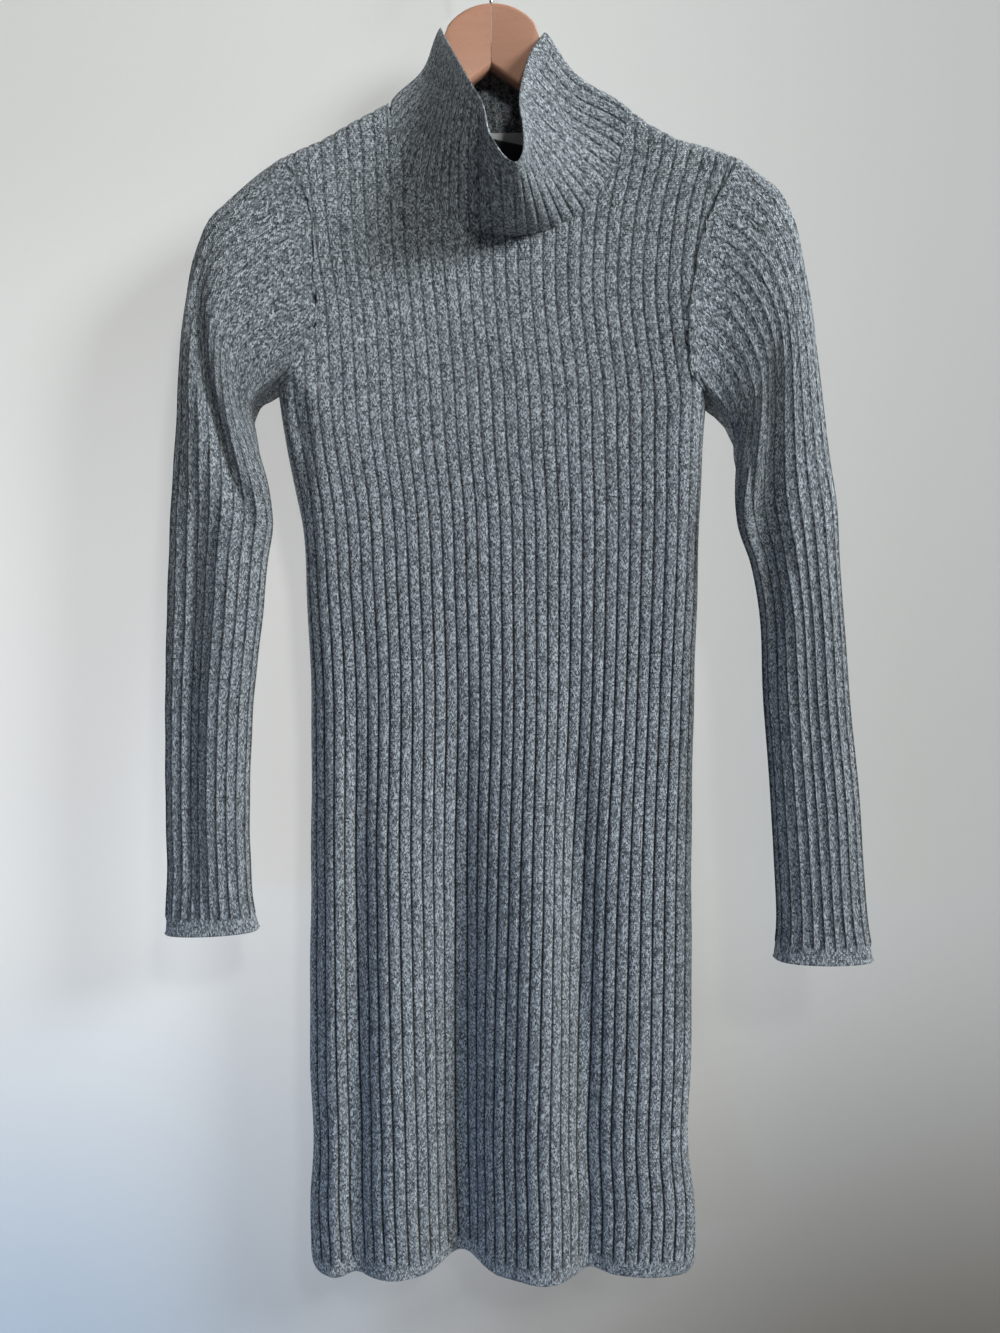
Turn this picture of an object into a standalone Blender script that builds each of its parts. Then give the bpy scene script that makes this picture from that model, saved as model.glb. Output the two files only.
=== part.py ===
"""A ribbed sweater dress hanging on a contoured wooden hanger.

Metres, +Z up, +X to the viewer's right, +Y away from the viewer. The origin is
the point inside the top of the hanger's hook that rests on a peg or a rail.

Each piece of cloth is a wall of one thickness. The front and the back are
layers that hang off one middle plane, which follows the hanger at the shoulders
and straightens towards the hem. They turn along Y at the shoulders and the side
seams, so their edges butt there. The sleeves and the collar start from the very
points of the edges that they are sewn to.
"""

import math

import bmesh
import bpy
import numpy as np

# Cloth
CLOTH = 0.002
SEAM_GAP = 0.0003
SEAM_STRIP = 0.004

# The hanger: half its length, how far its tips come forward, and its turn
HANGER_HALF = 0.216
ARM_SWEEP = 0.028
ARM_SWEEP_POWER = 1.6
HANGER_TURN = math.radians(2.5)
HUMP_RADIUS = 0.042
HUMP_CENTRE_Z = -0.107
WIRE_RADIUS = 0.0016
HOOK_RADIUS = 0.0195

# The body
ARMPIT_LEFT = (-0.1655, -0.3755)
ARMPIT_RIGHT = (0.1655, -0.3845)
SLIT_TOP_Z = -0.975
HEM_Z = -1.0615
HEM_LIFT = 0.28
HEM_LIFT_REACH = 0.100
SLIT_CORNER = 0.014
SLIT_SPREAD = 0.005
# Where the bodice length of a panel ends, and its skirt length
PANEL_ENDS = (-0.510, -0.775)
SIDE_ROUND = 0.024
SHOULDER_ROUND = 0.012
SKIRT_Y = 0.004
SWEEP_FADES_FROM = -0.30
SWEEP_GONE_AT = -0.65

# The neckline: where it meets the shoulders, and how far it drops
NECK_LEFT = (-0.0780, -0.1450)
NECK_RIGHT = (0.1040, -0.1550)
FRONT_NECK_DROP = 0.106
BACK_NECK_DROP = 0.012
NECK_POWER = 2.1
COLLAR_SEAM_GAP = 0.0009
COLLAR_SIDE_GAP = 0.0017
# How far the front and back stand off their middle where a round edge starts
NECK_POINT_EASE = 0.0009
ARMPIT_EASE = 0.0016

COLLAR_ROWS = 6
COLLAR_BULGE = 0.006
COLLAR_HOLLOW = 0.0070

# Side seams below the armpits: height, left seam, right seam
SIDES = {
    "z": (-0.3755, -0.400, -0.425, -0.450, -0.475, -0.530, -0.600, -0.740, -0.900, -0.975, -1.010, -1.0615),
    "left": (-0.1655, -0.1625, -0.1585, -0.1535, -0.1485, -0.1455, -0.1425, -0.1425, -0.1430, -0.1408, -0.1428, -0.1415),
    "right": (0.1655, 0.1645, 0.1632, 0.1625, 0.1620, 0.1615, 0.1605, 0.1585, 0.1582, 0.1565, 0.1610, 0.1608),
}

# Depth of the two layers from the middle plane, down the body
DEPTHS = {
    "z": (-0.150, -0.200, -0.260, -0.350, -0.450, -0.600, -0.800, -1.0615),
    "front": (0.0100, 0.0120, 0.0160, 0.0220, 0.0240, 0.0200, 0.0180, 0.0170),
    "back": (0.0100, 0.0100, 0.0120, 0.0150, 0.0170, 0.0170, 0.0170, 0.0170),
}

# The shoulder line and the sleeve caps, left and right, out from the neck
SHOULDER_LEFT = {
    "x": (-0.2230, -0.2105, -0.1891, -0.1676, -0.1614, -0.1520, -0.1316, -0.1080, -0.0841, -0.0780),
    "z": (-0.2490, -0.2362, -0.2171, -0.1978, -0.1944, -0.1890, -0.1785, -0.1635, -0.1490, -0.1450),
}
SHOULDER_RIGHT = {
    "x": (0.1040, 0.1204, 0.1429, 0.1629, 0.1866, 0.2048, 0.2178, 0.2261, 0.2293),
    "z": (-0.1550, -0.1700, -0.1850, -0.1930, -0.2045, -0.2195, -0.2325, -0.2455, -0.2575),
}

# Armholes, from the shoulder point down to the armpit
ARMHOLE_LEFT = {
    "x": (-0.1614, -0.1520, -0.1420, -0.1375, -0.1355, -0.1340, -0.1335, -0.1400, -0.1475, -0.1655),
    "z": (-0.1944, -0.2116, -0.2268, -0.2469, -0.2781, -0.3096, -0.3253, -0.3460, -0.3624, -0.3755),
}
ARMHOLE_RIGHT = {
    "x": (0.1866, 0.1790, 0.1690, 0.1585, 0.1510, 0.1480, 0.1475, 0.1500, 0.1570, 0.1655),
    "z": (-0.2045, -0.2200, -0.2381, -0.2672, -0.3043, -0.3300, -0.3450, -0.3660, -0.3780, -0.3845),
}

# Folds of the two layers: the line each follows from its top to its bottom, how
# far it stands out (a trough is negative), its half width, and how it fades. One
# whose bottom is below the hem runs out through it
FOLD_COLUMNS = ("layer", "x_top", "z_top", "x_bottom", "z_bottom", "height", "width", "fade")
FOLDS = (
    ("front", -0.118, -0.560, -0.121, -1.200, 0.0050, 0.010, 0.20),
    ("front", -0.102, -0.520, -0.105, -1.200, -0.0050, 0.010, 0.25),
    ("front", -0.075, -0.500, -0.076, -1.200, 0.0090, 0.020, 0.40),
    ("front", -0.030, -0.480, -0.027, -1.200, -0.0200, 0.020, 0.55),
    ("front", 0.030, -0.480, 0.043, -1.200, 0.0160, 0.027, 0.45),
    ("front", 0.060, -0.500, 0.079, -1.200, -0.0100, 0.014, 0.30),
    ("front", 0.092, -0.500, 0.130, -1.200, 0.0040, 0.022, 0.40),
    ("front", -0.148, -0.360, -0.141, -0.490, -0.0060, 0.008, 0.05),
    ("front", 0.020, -0.250, 0.010, -0.560, 0.0030, 0.050, 0.12),
    ("back", -0.095, -0.560, -0.100, -1.200, 0.0050, 0.022, 0.35),
    ("back", -0.045, -0.520, -0.040, -1.200, -0.0040, 0.020, 0.40),
    ("back", 0.020, -0.500, 0.020, -1.200, 0.0060, 0.024, 0.45),
    ("back", 0.075, -0.520, 0.080, -1.200, -0.0050, 0.018, 0.40),
    ("back", 0.118, -0.560, 0.124, -1.200, 0.0050, 0.020, 0.35),
)

# Sleeves: outer and inner ends of each ring, its depths from its own middle, and
# the crease on its front (its place across the ring and its depth)
SLEEVE_COLUMNS = ("outer_x", "outer_z", "inner_x", "inner_z", "front", "back", "crease_at", "crease")
SLEEVE_LEFT = (
    (-0.1807, -0.2090, -0.1780, -0.3800, 0.022, 0.018, 0.10, 0.000),
    (-0.2017, -0.2285, -0.1850, -0.3850, 0.024, 0.019, 0.10, 0.001),
    (-0.2197, -0.2470, -0.1870, -0.3910, 0.025, 0.019, 0.12, 0.003),
    (-0.2287, -0.2760, -0.1860, -0.3990, 0.025, 0.019, 0.18, 0.006),
    (-0.2347, -0.3130, -0.1840, -0.4100, 0.025, 0.019, 0.30, 0.008),
    (-0.2387, -0.3520, -0.1800, -0.4260, 0.024, 0.019, 0.45, 0.010),
    (-0.2402, -0.3910, -0.1750, -0.4460, 0.024, 0.019, 0.58, 0.010),
    (-0.2427, -0.4310, -0.1710, -0.4660, 0.023, 0.019, 0.70, 0.008),
    (-0.245, -0.4640, -0.1700, -0.4820, 0.022, 0.018, 0.80, 0.005),
    (-0.247, -0.5070, -0.1740, -0.5070, 0.020, 0.017, 0.86, 0.002),
    (-0.249, -0.5550, -0.1785, -0.5550, 0.018, 0.016, 0.86, 0.000),
    (-0.250, -0.6150, -0.1850, -0.6150, 0.018, 0.016, 0.80, 0.000),
    (-0.250, -0.6900, -0.1880, -0.6900, 0.017, 0.015, 0.80, 0.000),
    (-0.249, -0.7450, -0.1870, -0.7450, 0.016, 0.014, 0.80, 0.000),
    (-0.250, -0.7750, -0.1845, -0.7740, 0.017, 0.014, 0.80, 0.000),
    (-0.251, -0.7940, -0.1800, -0.7910, 0.020, 0.015, 0.80, 0.000),
)
SLEEVE_RIGHT = (
    (0.2040, -0.2190, 0.1715, -0.3900, 0.022, 0.018, 0.90, 0.000),
    (0.2163, -0.2321, 0.1775, -0.3970, 0.024, 0.019, 0.80, 0.000),
    (0.2278, -0.2570, 0.1830, -0.4060, 0.025, 0.019, 0.60, 0.000),
    (0.2335, -0.2860, 0.1855, -0.4160, 0.025, 0.019, 0.58, 0.002),
    (0.2395, -0.3180, 0.1865, -0.4270, 0.025, 0.019, 0.60, 0.004),
    (0.2435, -0.3540, 0.1870, -0.4410, 0.025, 0.019, 0.63, 0.006),
    (0.2485, -0.3920, 0.1865, -0.4600, 0.024, 0.019, 0.67, 0.008),
    (0.2535, -0.4350, 0.1870, -0.4760, 0.023, 0.019, 0.70, 0.009),
    (0.2585, -0.4710, 0.1905, -0.4910, 0.022, 0.018, 0.74, 0.009),
    (0.2605, -0.5100, 0.1985, -0.5150, 0.020, 0.017, 0.80, 0.007),
    (0.2635, -0.5580, 0.2045, -0.5550, 0.019, 0.016, 0.86, 0.003),
    (0.2685, -0.6180, 0.2070, -0.6140, 0.018, 0.016, 0.86, 0.000),
    (0.2755, -0.6890, 0.2120, -0.6890, 0.018, 0.016, 0.80, 0.000),
    (0.2790, -0.7410, 0.2150, -0.7410, 0.017, 0.015, 0.80, 0.000),
    (0.2815, -0.7800, 0.2165, -0.7800, 0.018, 0.015, 0.80, 0.000),
    (0.2860, -0.8080, 0.2140, -0.8080, 0.021, 0.016, 0.80, 0.000),
)
SLEEVE_MIDDLE_Y = {"left": -0.0185, "right": -0.0400}
CAP_RINGS = 3
# The rings where the upper length of a sleeve ends, and its lower length
SLEEVE_ENDS = (9, 13)
SLEEVE_GAP = 0.0009
ARMPIT_EASE_RINGS = 8

# Top edge of the collar, from its left side round the front and back again. The
# first column is the share of that half of the neckline that lies below it
COLLAR_TOP_FRONT = {
    "share": (0.0, 0.12, 0.25, 0.36, 0.45, 0.50, 0.55, 0.61, 0.70, 0.78, 0.87, 0.95, 1.0),
    "x": (-0.0400, -0.0270, -0.0160, -0.0065, -0.0002, 0.0098, 0.0183, 0.0237, 0.0240, 0.0213, 0.0251, 0.0325, 0.0420),
    "y": (-0.006, -0.030, -0.050, -0.066, -0.080, -0.089, -0.092, -0.088, -0.075, -0.060, -0.040, -0.020, -0.008),
    "z": (-0.0860, -0.1222, -0.1526, -0.1792, -0.2104, -0.2291, -0.2341, -0.2251, -0.1985, -0.1730, -0.1409, -0.1101, -0.0905),
}
COLLAR_TOP_BACK = {
    "share": (0.0, 0.10, 0.25, 0.50, 0.75, 0.90, 1.0),
    "x": (-0.0400, -0.0410, -0.0345, 0.0020, 0.0365, 0.0430, 0.0420),
    "y": (-0.006, 0.004, 0.014, 0.020, 0.013, 0.002, -0.008),
    "z": (-0.0860, -0.0865, -0.0850, -0.0830, -0.0865, -0.0895, -0.0905),
}

# The hanger's outline beyond its rounded top, for one half: distance from the
# middle, top edge, bottom edge, half thickness
HANGER = {
    "x": (0.0354, 0.0444, 0.0535, 0.066, 0.084, 0.108, 0.132, 0.152, 0.170, 0.190, 0.207, 0.216),
    "top": (-0.0862, -0.1125, -0.1345, -0.1510, -0.1610, -0.1705, -0.1835, -0.1950, -0.2070, -0.2240, -0.2395, -0.2500),
    "bottom": (-0.1432, -0.1499, -0.1567, -0.1665, -0.1805, -0.1950, -0.2085, -0.2190, -0.2295, -0.2445, -0.2580, -0.2620),
    "half": (0.0060, 0.0060, 0.0060, 0.0062, 0.0064, 0.0068, 0.0070, 0.0070, 0.0070, 0.0068, 0.0064, 0.0050),
}
NOTCH_Z = -0.1166
NOTCH_SLOPE = 0.75
HUMP_SECTIONS = 6
EDGE_ROUND = 0.005
EDGE_STEPS = 3

# Labels at the back of the neck: left, right, top, bottom, thickness, and how
# far the right end drops
NECK_LABEL = {"left": -0.010, "right": 0.037, "top": -0.1608, "bottom": -0.1738, "thick": 0.0008, "drop": 0.0012}
SIZE_TAB = {"left": -0.002, "right": 0.0335, "top": -0.1654, "bottom": -0.1930, "thick": 0.0008, "drop": 0.0088}
LABEL_CLEAR = 0.0011
TAB_CLEAR = 0.0023

# Grid sizes
SHOULDER_COLUMNS = 5
NECK_COLUMNS = {"front": 16, "back": 12}
ARMHOLE_ROWS = {"front": 8, "back": 7}
SIDE_ROWS = 8
HEM_ROWS = (0.045, 0.014, 0.008, 0.003, 0.0)
ROUND_STEPS = (0.0, 0.0030, 0.0080, 0.0150)

MATERIALS = {
    "grey_knit": ((0.19, 0.21, 0.22, 1.0), 0.95, 0.0),
    "white_label": ((0.75, 0.75, 0.73, 1.0), 0.7, 0.0),
    "black_tab": ((0.01, 0.01, 0.012, 1.0), 0.7, 0.0),
    "beech": ((0.56, 0.38, 0.24, 1.0), 0.45, 0.0),
    "steel": ((0.6, 0.6, 0.6, 1.0), 0.3, 1.0),
}


def clear_scene():
    for old in list(bpy.data.objects):
        bpy.data.objects.remove(old, do_unlink=True)


def finish_of(name):
    """The named finish, made once."""
    if name in bpy.data.materials:
        return bpy.data.materials[name]
    colour, roughness, metallic = MATERIALS[name]
    finish = bpy.data.materials.new(name)
    finish.use_nodes = True
    shader = finish.node_tree.nodes["Principled BSDF"]
    shader.inputs["Base Color"].default_value = colour
    shader.inputs["Roughness"].default_value = roughness
    shader.inputs["Metallic"].default_value = metallic
    return finish


def smooth(at, knots, values):
    """Cubic Hermite curve through the knots, with the slopes of their neighbours."""
    knots = np.asarray(knots, float)
    values = np.asarray(values, float)
    if knots[0] > knots[-1]:
        knots, values = knots[::-1], values[::-1]
    slopes = np.gradient(values, knots)
    at = np.clip(np.asarray(at, float), knots[0], knots[-1])
    left = np.clip(np.searchsorted(knots, at) - 1, 0, len(knots) - 2)
    step = knots[left + 1] - knots[left]
    t = (at - knots[left]) / step
    return (
        (2 * t**3 - 3 * t**2 + 1) * values[left]
        + (t**3 - 2 * t**2 + t) * step * slopes[left]
        + (3 * t**2 - 2 * t**3) * values[left + 1]
        + (t**3 - t**2) * step * slopes[left + 1]
    )


def eased(share):
    """0 to 1 with level ends."""
    share = np.clip(share, 0.0, 1.0)
    return share * share * (3 - 2 * share)


def rounded(distance, radius):
    """Quarter round: 0 at an edge, 1 from one radius inside it."""
    share = np.clip(distance / radius, 0.0, 1.0)
    return np.sqrt(1 - (1 - share) ** 2)


def on_hanger(x):
    """Depth of the hanger's middle: its tips sweep forward, and it hangs a little turned."""
    sweep = ARM_SWEEP * (np.abs(x) / HANGER_HALF) ** ARM_SWEEP_POWER
    return -sweep - math.tan(HANGER_TURN) * x


def middle(x, z):
    """Depth of the plane between the front and back layers."""
    held = eased((z - SWEEP_GONE_AT) / (SWEEP_FADES_FROM - SWEEP_GONE_AT))
    return held * on_hanger(x) + (1 - held) * SKIRT_Y


def shoulder_z(x):
    """Height of the shoulder line, carried straight across the neck opening."""
    knots = SHOULDER_LEFT["x"] + SHOULDER_RIGHT["x"]
    return np.interp(x, knots, SHOULDER_LEFT["z"] + SHOULDER_RIGHT["z"])


def side_distance(x, z):
    """How far a point is from the nearer side seam, or from the armpit above it."""
    found = []
    for key, armpit, inwards in (("left", ARMPIT_LEFT, 1), ("right", ARMPIT_RIGHT, -1)):
        seam = smooth(z, SIDES["z"], SIDES[key])
        below = inwards * (x - seam)
        above = np.hypot(x - armpit[0], z - armpit[1])
        found.append(np.where(z < armpit[1], below, above))
    return np.clip(np.minimum(*found), 0.0, None)


def fold_height(layer, x, z):
    """Sum of this layer's folds: each is a soft bell across its own line, faded at both ends."""
    total = np.zeros_like(np.asarray(x, float) + z)
    for row in FOLDS:
        fold = dict(zip(FOLD_COLUMNS, row))
        if fold["layer"] != layer:
            continue
        along = (fold["z_top"] - z) / (fold["z_top"] - fold["z_bottom"])
        line = fold["x_top"] + (fold["x_bottom"] - fold["x_top"]) * np.clip(along, 0, 1)
        fade = eased((fold["z_top"] - z) / fold["fade"])
        if fold["z_bottom"] > HEM_Z:
            fade = fade * eased((z - fold["z_bottom"]) / fold["fade"])
        total = total + fold["height"] * fade * np.exp(-(((x - line) / fold["width"]) ** 2))
    return total


def layer_y(layer, x, z):
    """Depth of the outer face of the front or back layer."""
    outwards = -1 if layer == "front" else 1
    depth = smooth(z, DEPTHS["z"], DEPTHS[layer]) + fold_height(layer, x, z)
    depth = depth * rounded(side_distance(x, z), SIDE_ROUND)
    depth = depth * rounded(shoulder_z(x) - z, SHOULDER_ROUND)
    return middle(x, z) + outwards * (SEAM_STRIP + depth)


def wall(name, points, finish, closed_across=False, inwards=1):
    """Cloth from a grid of points on its outer face, rows by columns, thickened inwards."""
    rows, columns = points.shape[:2]
    index = np.arange(rows * columns).reshape(rows, columns)
    if closed_across:
        index = np.hstack([index, index[:, :1]])
    corners = (index[:-1, :-1], index[1:, :-1], index[1:, 1:], index[:-1, 1:])
    faces = np.stack(corners, axis=-1).reshape(-1, 4)
    mesh = bpy.data.meshes.new(name)
    mesh.from_pydata(points.reshape(-1, 3).tolist(), [], faces[:, ::inwards].tolist())
    mesh.update()
    cloth = add_object(name, mesh, finish)
    thicken = cloth.modifiers.new("cloth", "SOLIDIFY")
    thicken.thickness = CLOTH
    thicken.offset = -1.0
    return cloth


def add_object(name, mesh, finish):
    mesh.materials.append(finish_of(finish))
    mesh.shade_smooth()
    mesh.set_sharp_from_angle(angle=math.radians(40))
    made = bpy.data.objects.new(name, mesh)
    bpy.data.collections["sweater_dress"].objects.link(made)
    return made


def resample(line, count, first=(0.0,)):
    """Points along a polyline given as rows: at the first distances, then evenly spaced to its end."""
    lengths = np.r_[0.0, np.cumsum(np.linalg.norm(np.diff(line, axis=0), axis=1))]
    at = np.r_[first[:-1], np.linspace(first[-1], lengths[-1], count)]
    return np.stack([np.interp(at, lengths, line[:, k]) for k in range(line.shape[1])], axis=1)


def curve_through(table, keys, count, first=(0.0,), steps=12):
    """Points along the smooth curve through a table's rows, spaced as in resample."""
    knots = np.stack([np.asarray(table[key], float) for key in keys], axis=1)
    order = np.arange(len(knots))
    fine = np.linspace(0, len(knots) - 1, steps * len(knots))
    line = np.stack([smooth(fine, order, knots[:, k]) for k in range(len(keys))], axis=1)
    return resample(line, count, first)


def neckline(drop, count):
    """Neck edge in the XZ plane, left to right: a superellipse hung below the two neck points."""
    angle = np.linspace(0.0, math.pi, 200)
    across = 0.5 - 0.5 * np.sign(np.cos(angle)) * np.abs(np.cos(angle)) ** (2 / NECK_POWER)
    x = NECK_LEFT[0] + (NECK_RIGHT[0] - NECK_LEFT[0]) * across
    z = NECK_LEFT[1] + (NECK_RIGHT[1] - NECK_LEFT[1]) * across
    z = z - drop * np.sin(angle) ** (2 / NECK_POWER)
    return resample(np.stack([x, z], axis=1), count)


def shoulder(table, start, end, count):
    x = np.linspace(start, end, count)
    return np.stack([x, np.interp(x, table["x"], table["z"])], axis=1)


def moved_in(edge, distance, towards):
    """An XZ polyline moved sideways, square to itself, by a distance for each of its points."""
    along = np.gradient(edge, axis=0)
    square = np.stack([-along[:, 1], along[:, 0]], axis=1)
    square /= np.linalg.norm(square, axis=1)[:, None]
    facing = np.sign(square @ np.asarray(towards, float))
    return edge + square * (facing * distance)[:, None]


def side_edge(table, key, armpit, armhole_rows):
    """Armhole and side seam of a layer, top to bottom, and the number of its armhole points past the first."""
    armhole = curve_through(table, ("x", "z"), armhole_rows + 1, ROUND_STEPS)
    z = np.r_[np.linspace(armpit[1], SLIT_TOP_Z, SIDE_ROWS + 1)[1:], HEM_Z + np.array(HEM_ROWS)]
    seam = np.stack([smooth(z, SIDES["z"], SIDES[key]), z], axis=1)
    return np.vstack([armhole, seam]), len(armhole) - 1


def coons(top, bottom, left, right):
    """XZ grid between four edges that share their corners."""
    u = np.linspace(0, 1, len(top))[None, :, None]
    v = np.linspace(0, 1, len(left))[:, None, None]
    across = (1 - v) * top[None] + v * bottom[None]
    down = (1 - u) * left[:, None] + u * right[:, None]
    corners = (1 - u) * (1 - v) * top[0] + u * (1 - v) * top[-1] + (1 - u) * v * bottom[0] + u * v * bottom[-1]
    return across + down - corners


def body_layer(layer):
    """Grid of points of a body panel, with one narrow strip beside each seam, and its seam edges."""
    drop = FRONT_NECK_DROP if layer == "front" else BACK_NECK_DROP
    left, hole_rows = side_edge(ARMHOLE_LEFT, "left", ARMPIT_LEFT, ARMHOLE_ROWS[layer])
    right, _ = side_edge(ARMHOLE_RIGHT, "right", ARMPIT_RIGHT, ARMHOLE_ROWS[layer])
    neck = neckline(drop, NECK_COLUMNS[layer] + 1)
    shoulder_left = shoulder(SHOULDER_LEFT, left[0, 0], NECK_LEFT[0], SHOULDER_COLUMNS + 1)
    shoulder_right = shoulder(SHOULDER_RIGHT, NECK_RIGHT[0], right[0, 0], SHOULDER_COLUMNS + 1)
    top = np.vstack([shoulder_left[:-1], neck, shoulder_right[1:]])
    neck_columns = slice(SHOULDER_COLUMNS + 1, SHOULDER_COLUMNS + NECK_COLUMNS[layer])

    # One strip inside each open edge; at a seam along Y it has no width in this plane
    in_hole = np.zeros(len(left))
    in_hole[1:hole_rows] = SEAM_STRIP
    inner_left = moved_in(left, in_hole, (1.0, 0.1))
    inner_right = moved_in(right, in_hole, (-1.0, 0.1))
    inner_left[0] = left[0] + (shoulder_left[1] - left[0]) * SEAM_STRIP / np.linalg.norm(shoulder_left[1] - left[0])
    inner_right[0] = right[0] + (shoulder_right[-2] - right[0]) * SEAM_STRIP / np.linalg.norm(shoulder_right[-2] - right[0])
    in_neck = np.zeros(len(top))
    in_neck[neck_columns] = SEAM_STRIP
    inner_top = moved_in(top, in_neck, (0.0, -1.0))
    inner_top[0], inner_top[-1] = inner_left[0], inner_right[0]

    across = np.linspace(0, 1, len(top))
    bottom_x = left[-1, 0] + (right[-1, 0] - left[-1, 0]) * across
    bottom = np.stack([bottom_x, np.full(len(top), HEM_Z)], axis=1)
    inside = coons(inner_top, bottom, inner_left, inner_right)
    plane = np.concatenate([left[:, None], inside, right[:, None]], axis=1)
    edge_row = np.concatenate([left[:1], top, right[:1]])
    plane = np.concatenate([edge_row[None], plane])
    plane[0, 1], plane[0, -2] = inner_left[0], inner_right[0]

    # Round slit corners: the last rows draw in at both ends
    inset = SLIT_CORNER * (1 - rounded(plane[..., 1] - HEM_Z, SLIT_CORNER))
    centre = (left[-1, 0] + right[-1, 0]) / 2
    share = (plane[..., 0] - centre) / (right[-1, 0] - centre)
    plane[..., 0] -= inset * np.sign(share) * np.abs(share) ** 8

    # A trough pulls the hem up a little
    trough = np.clip(-fold_height(layer, plane[..., 0], HEM_Z), 0, None)
    near_hem = np.clip(1 - (plane[..., 1] - HEM_Z) / HEM_LIFT_REACH, 0, 1)
    plane[..., 1] += HEM_LIFT * trough * near_hem

    x, z = plane[..., 0], plane[..., 1]
    outwards = -1 if layer == "front" else 1
    y = layer_y(layer, x, z)
    butt = middle(x, z) + outwards * SEAM_GAP / 2
    shoulders = np.ones(plane.shape[1], bool)
    shoulders[neck_columns.start + 1 : neck_columns.stop + 1] = False
    y[0, shoulders] = butt[0, shoulders]
    y[0, [neck_columns.start, neck_columns.stop + 1]] += outwards * NECK_POINT_EASE
    seam_rows = np.arange(plane.shape[0]) > hole_rows
    for column in (0, -1):
        y[seam_rows, column] = butt[seam_rows, column]
        y[hole_rows + 1, column] += outwards * ARMPIT_EASE
    spread = SLIT_SPREAD * eased((SLIT_TOP_Z - z) / (SLIT_TOP_Z - HEM_Z))
    y = y + outwards * spread * (1 - rounded(side_distance(x, z), SIDE_ROUND))
    points = np.stack([x, y, z], axis=-1)
    edges = {
        "left": points[: hole_rows + 2, :2],
        "right": points[: hole_rows + 2, :-3:-1],
        "neck": points[0, SHOULDER_COLUMNS + 1 : SHOULDER_COLUMNS + NECK_COLUMNS[layer] + 2],
    }
    return points, edges


def lengths_of(layer, points, finish, inwards):
    """A body panel as three lengths, bodice, skirt and hem, each parted from the next by a seam's gap."""
    starts = [0] + [int(np.argmin(np.abs(points[:, 0, 2] - z))) for z in PANEL_ENDS] + [len(points) - 1]
    for name, first, last in zip(("", "_skirt", "_hem"), starts[:-1], starts[1:]):
        length = points[first : last + 1].copy()
        if first:
            length[0, :, 2] -= SEAM_GAP
        wall(layer + name, length, finish, inwards=inwards)


def sewn_ring(front, back):
    """Closed ring from a front edge and a back edge that share both ends, down one and up the other."""
    first = (front[0] + back[0]) / 2
    last = (front[-1] + back[-1]) / 2
    return np.concatenate([first[None], front[1:-1], last[None], back[-2:0:-1]])


def sleeve(side, front_edge, back_edge):
    """Sleeve from the armhole's own points to the cuff, as three lengths parted by a seam's gap."""
    edge = sewn_ring(front_edge[:, 0], back_edge[:, 0])
    inside = sewn_ring(front_edge[:, 1], back_edge[:, 1])
    count_front = len(front_edge) - 1
    count = len(edge)
    outwards = edge - inside
    outwards[count_front] = outwards[count_front - 1] + outwards[count_front + 1]
    outwards[count_front, 1] = 0.0
    outwards /= np.linalg.norm(outwards, axis=1)[:, None]
    rings = [edge + outwards * SEAM_GAP, edge + outwards * SEAM_STRIP]

    # Shape of the armhole ring, along and square to the line from its top to its bottom
    start = rings[1]
    top, bottom = start[0], start[count_front]
    length = np.linalg.norm(bottom - top)
    along = (bottom - top) / length
    hole_share = (start - top) @ along / length
    hole_offset = start - top - hole_share[:, None] * (bottom - top)

    turn = np.arange(count) / count_front * math.pi
    behind = np.arange(count) > count_front
    turn[behind] = math.pi + (np.arange(count)[behind] - count_front) / (count - count_front) * math.pi
    table = SLEEVE_LEFT if side == "left" else SLEEVE_RIGHT
    for number, row in enumerate(table):
        ring = dict(zip(SLEEVE_COLUMNS, row))
        share = 0.5 - 0.5 * np.cos(turn)
        depth = np.abs(np.sin(turn)) ** 0.7
        front = ring["front"] * depth - ring["crease"] * np.exp(-(((share - ring["crease_at"]) / 0.13) ** 2))
        y = np.where(behind, ring["back"] * depth, -np.maximum(front, 0.25 * ring["front"] * depth))
        ease = eased(number / ARMPIT_EASE_RINGS)
        hung = SLEEVE_MIDDLE_Y[side]
        outer = np.array([ring["outer_x"], top[1] + (hung - top[1]) * eased((number + 1) / CAP_RINGS), ring["outer_z"]])
        inner = np.array([ring["inner_x"], bottom[1] + (hung - bottom[1]) * ease, ring["inner_z"]])
        blend = min(1.0, (number + 1) / (CAP_RINGS + 1))
        share = hole_share + (share - hole_share) * blend
        ring_points = outer + share[:, None] * (inner - outer) + hole_offset * (1 - blend)
        ring_points[:, 1] += y * blend
        rings.append(ring_points)
    rings = np.array(rings)
    starts = (0, *SLEEVE_ENDS, len(rings) - 1)
    for name, first, last in zip(("", "_lower", "_cuff"), starts[:-1], starts[1:]):
        length = rings[first : last + 1].copy()
        if first:
            down = length[1] - length[0]
            length[0] += SLEEVE_GAP * down / np.linalg.norm(down, axis=1)[:, None]
        wall("sleeve_" + side + name, length, "grey_knit", closed_across=True, inwards=1 if side == "left" else -1)


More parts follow.
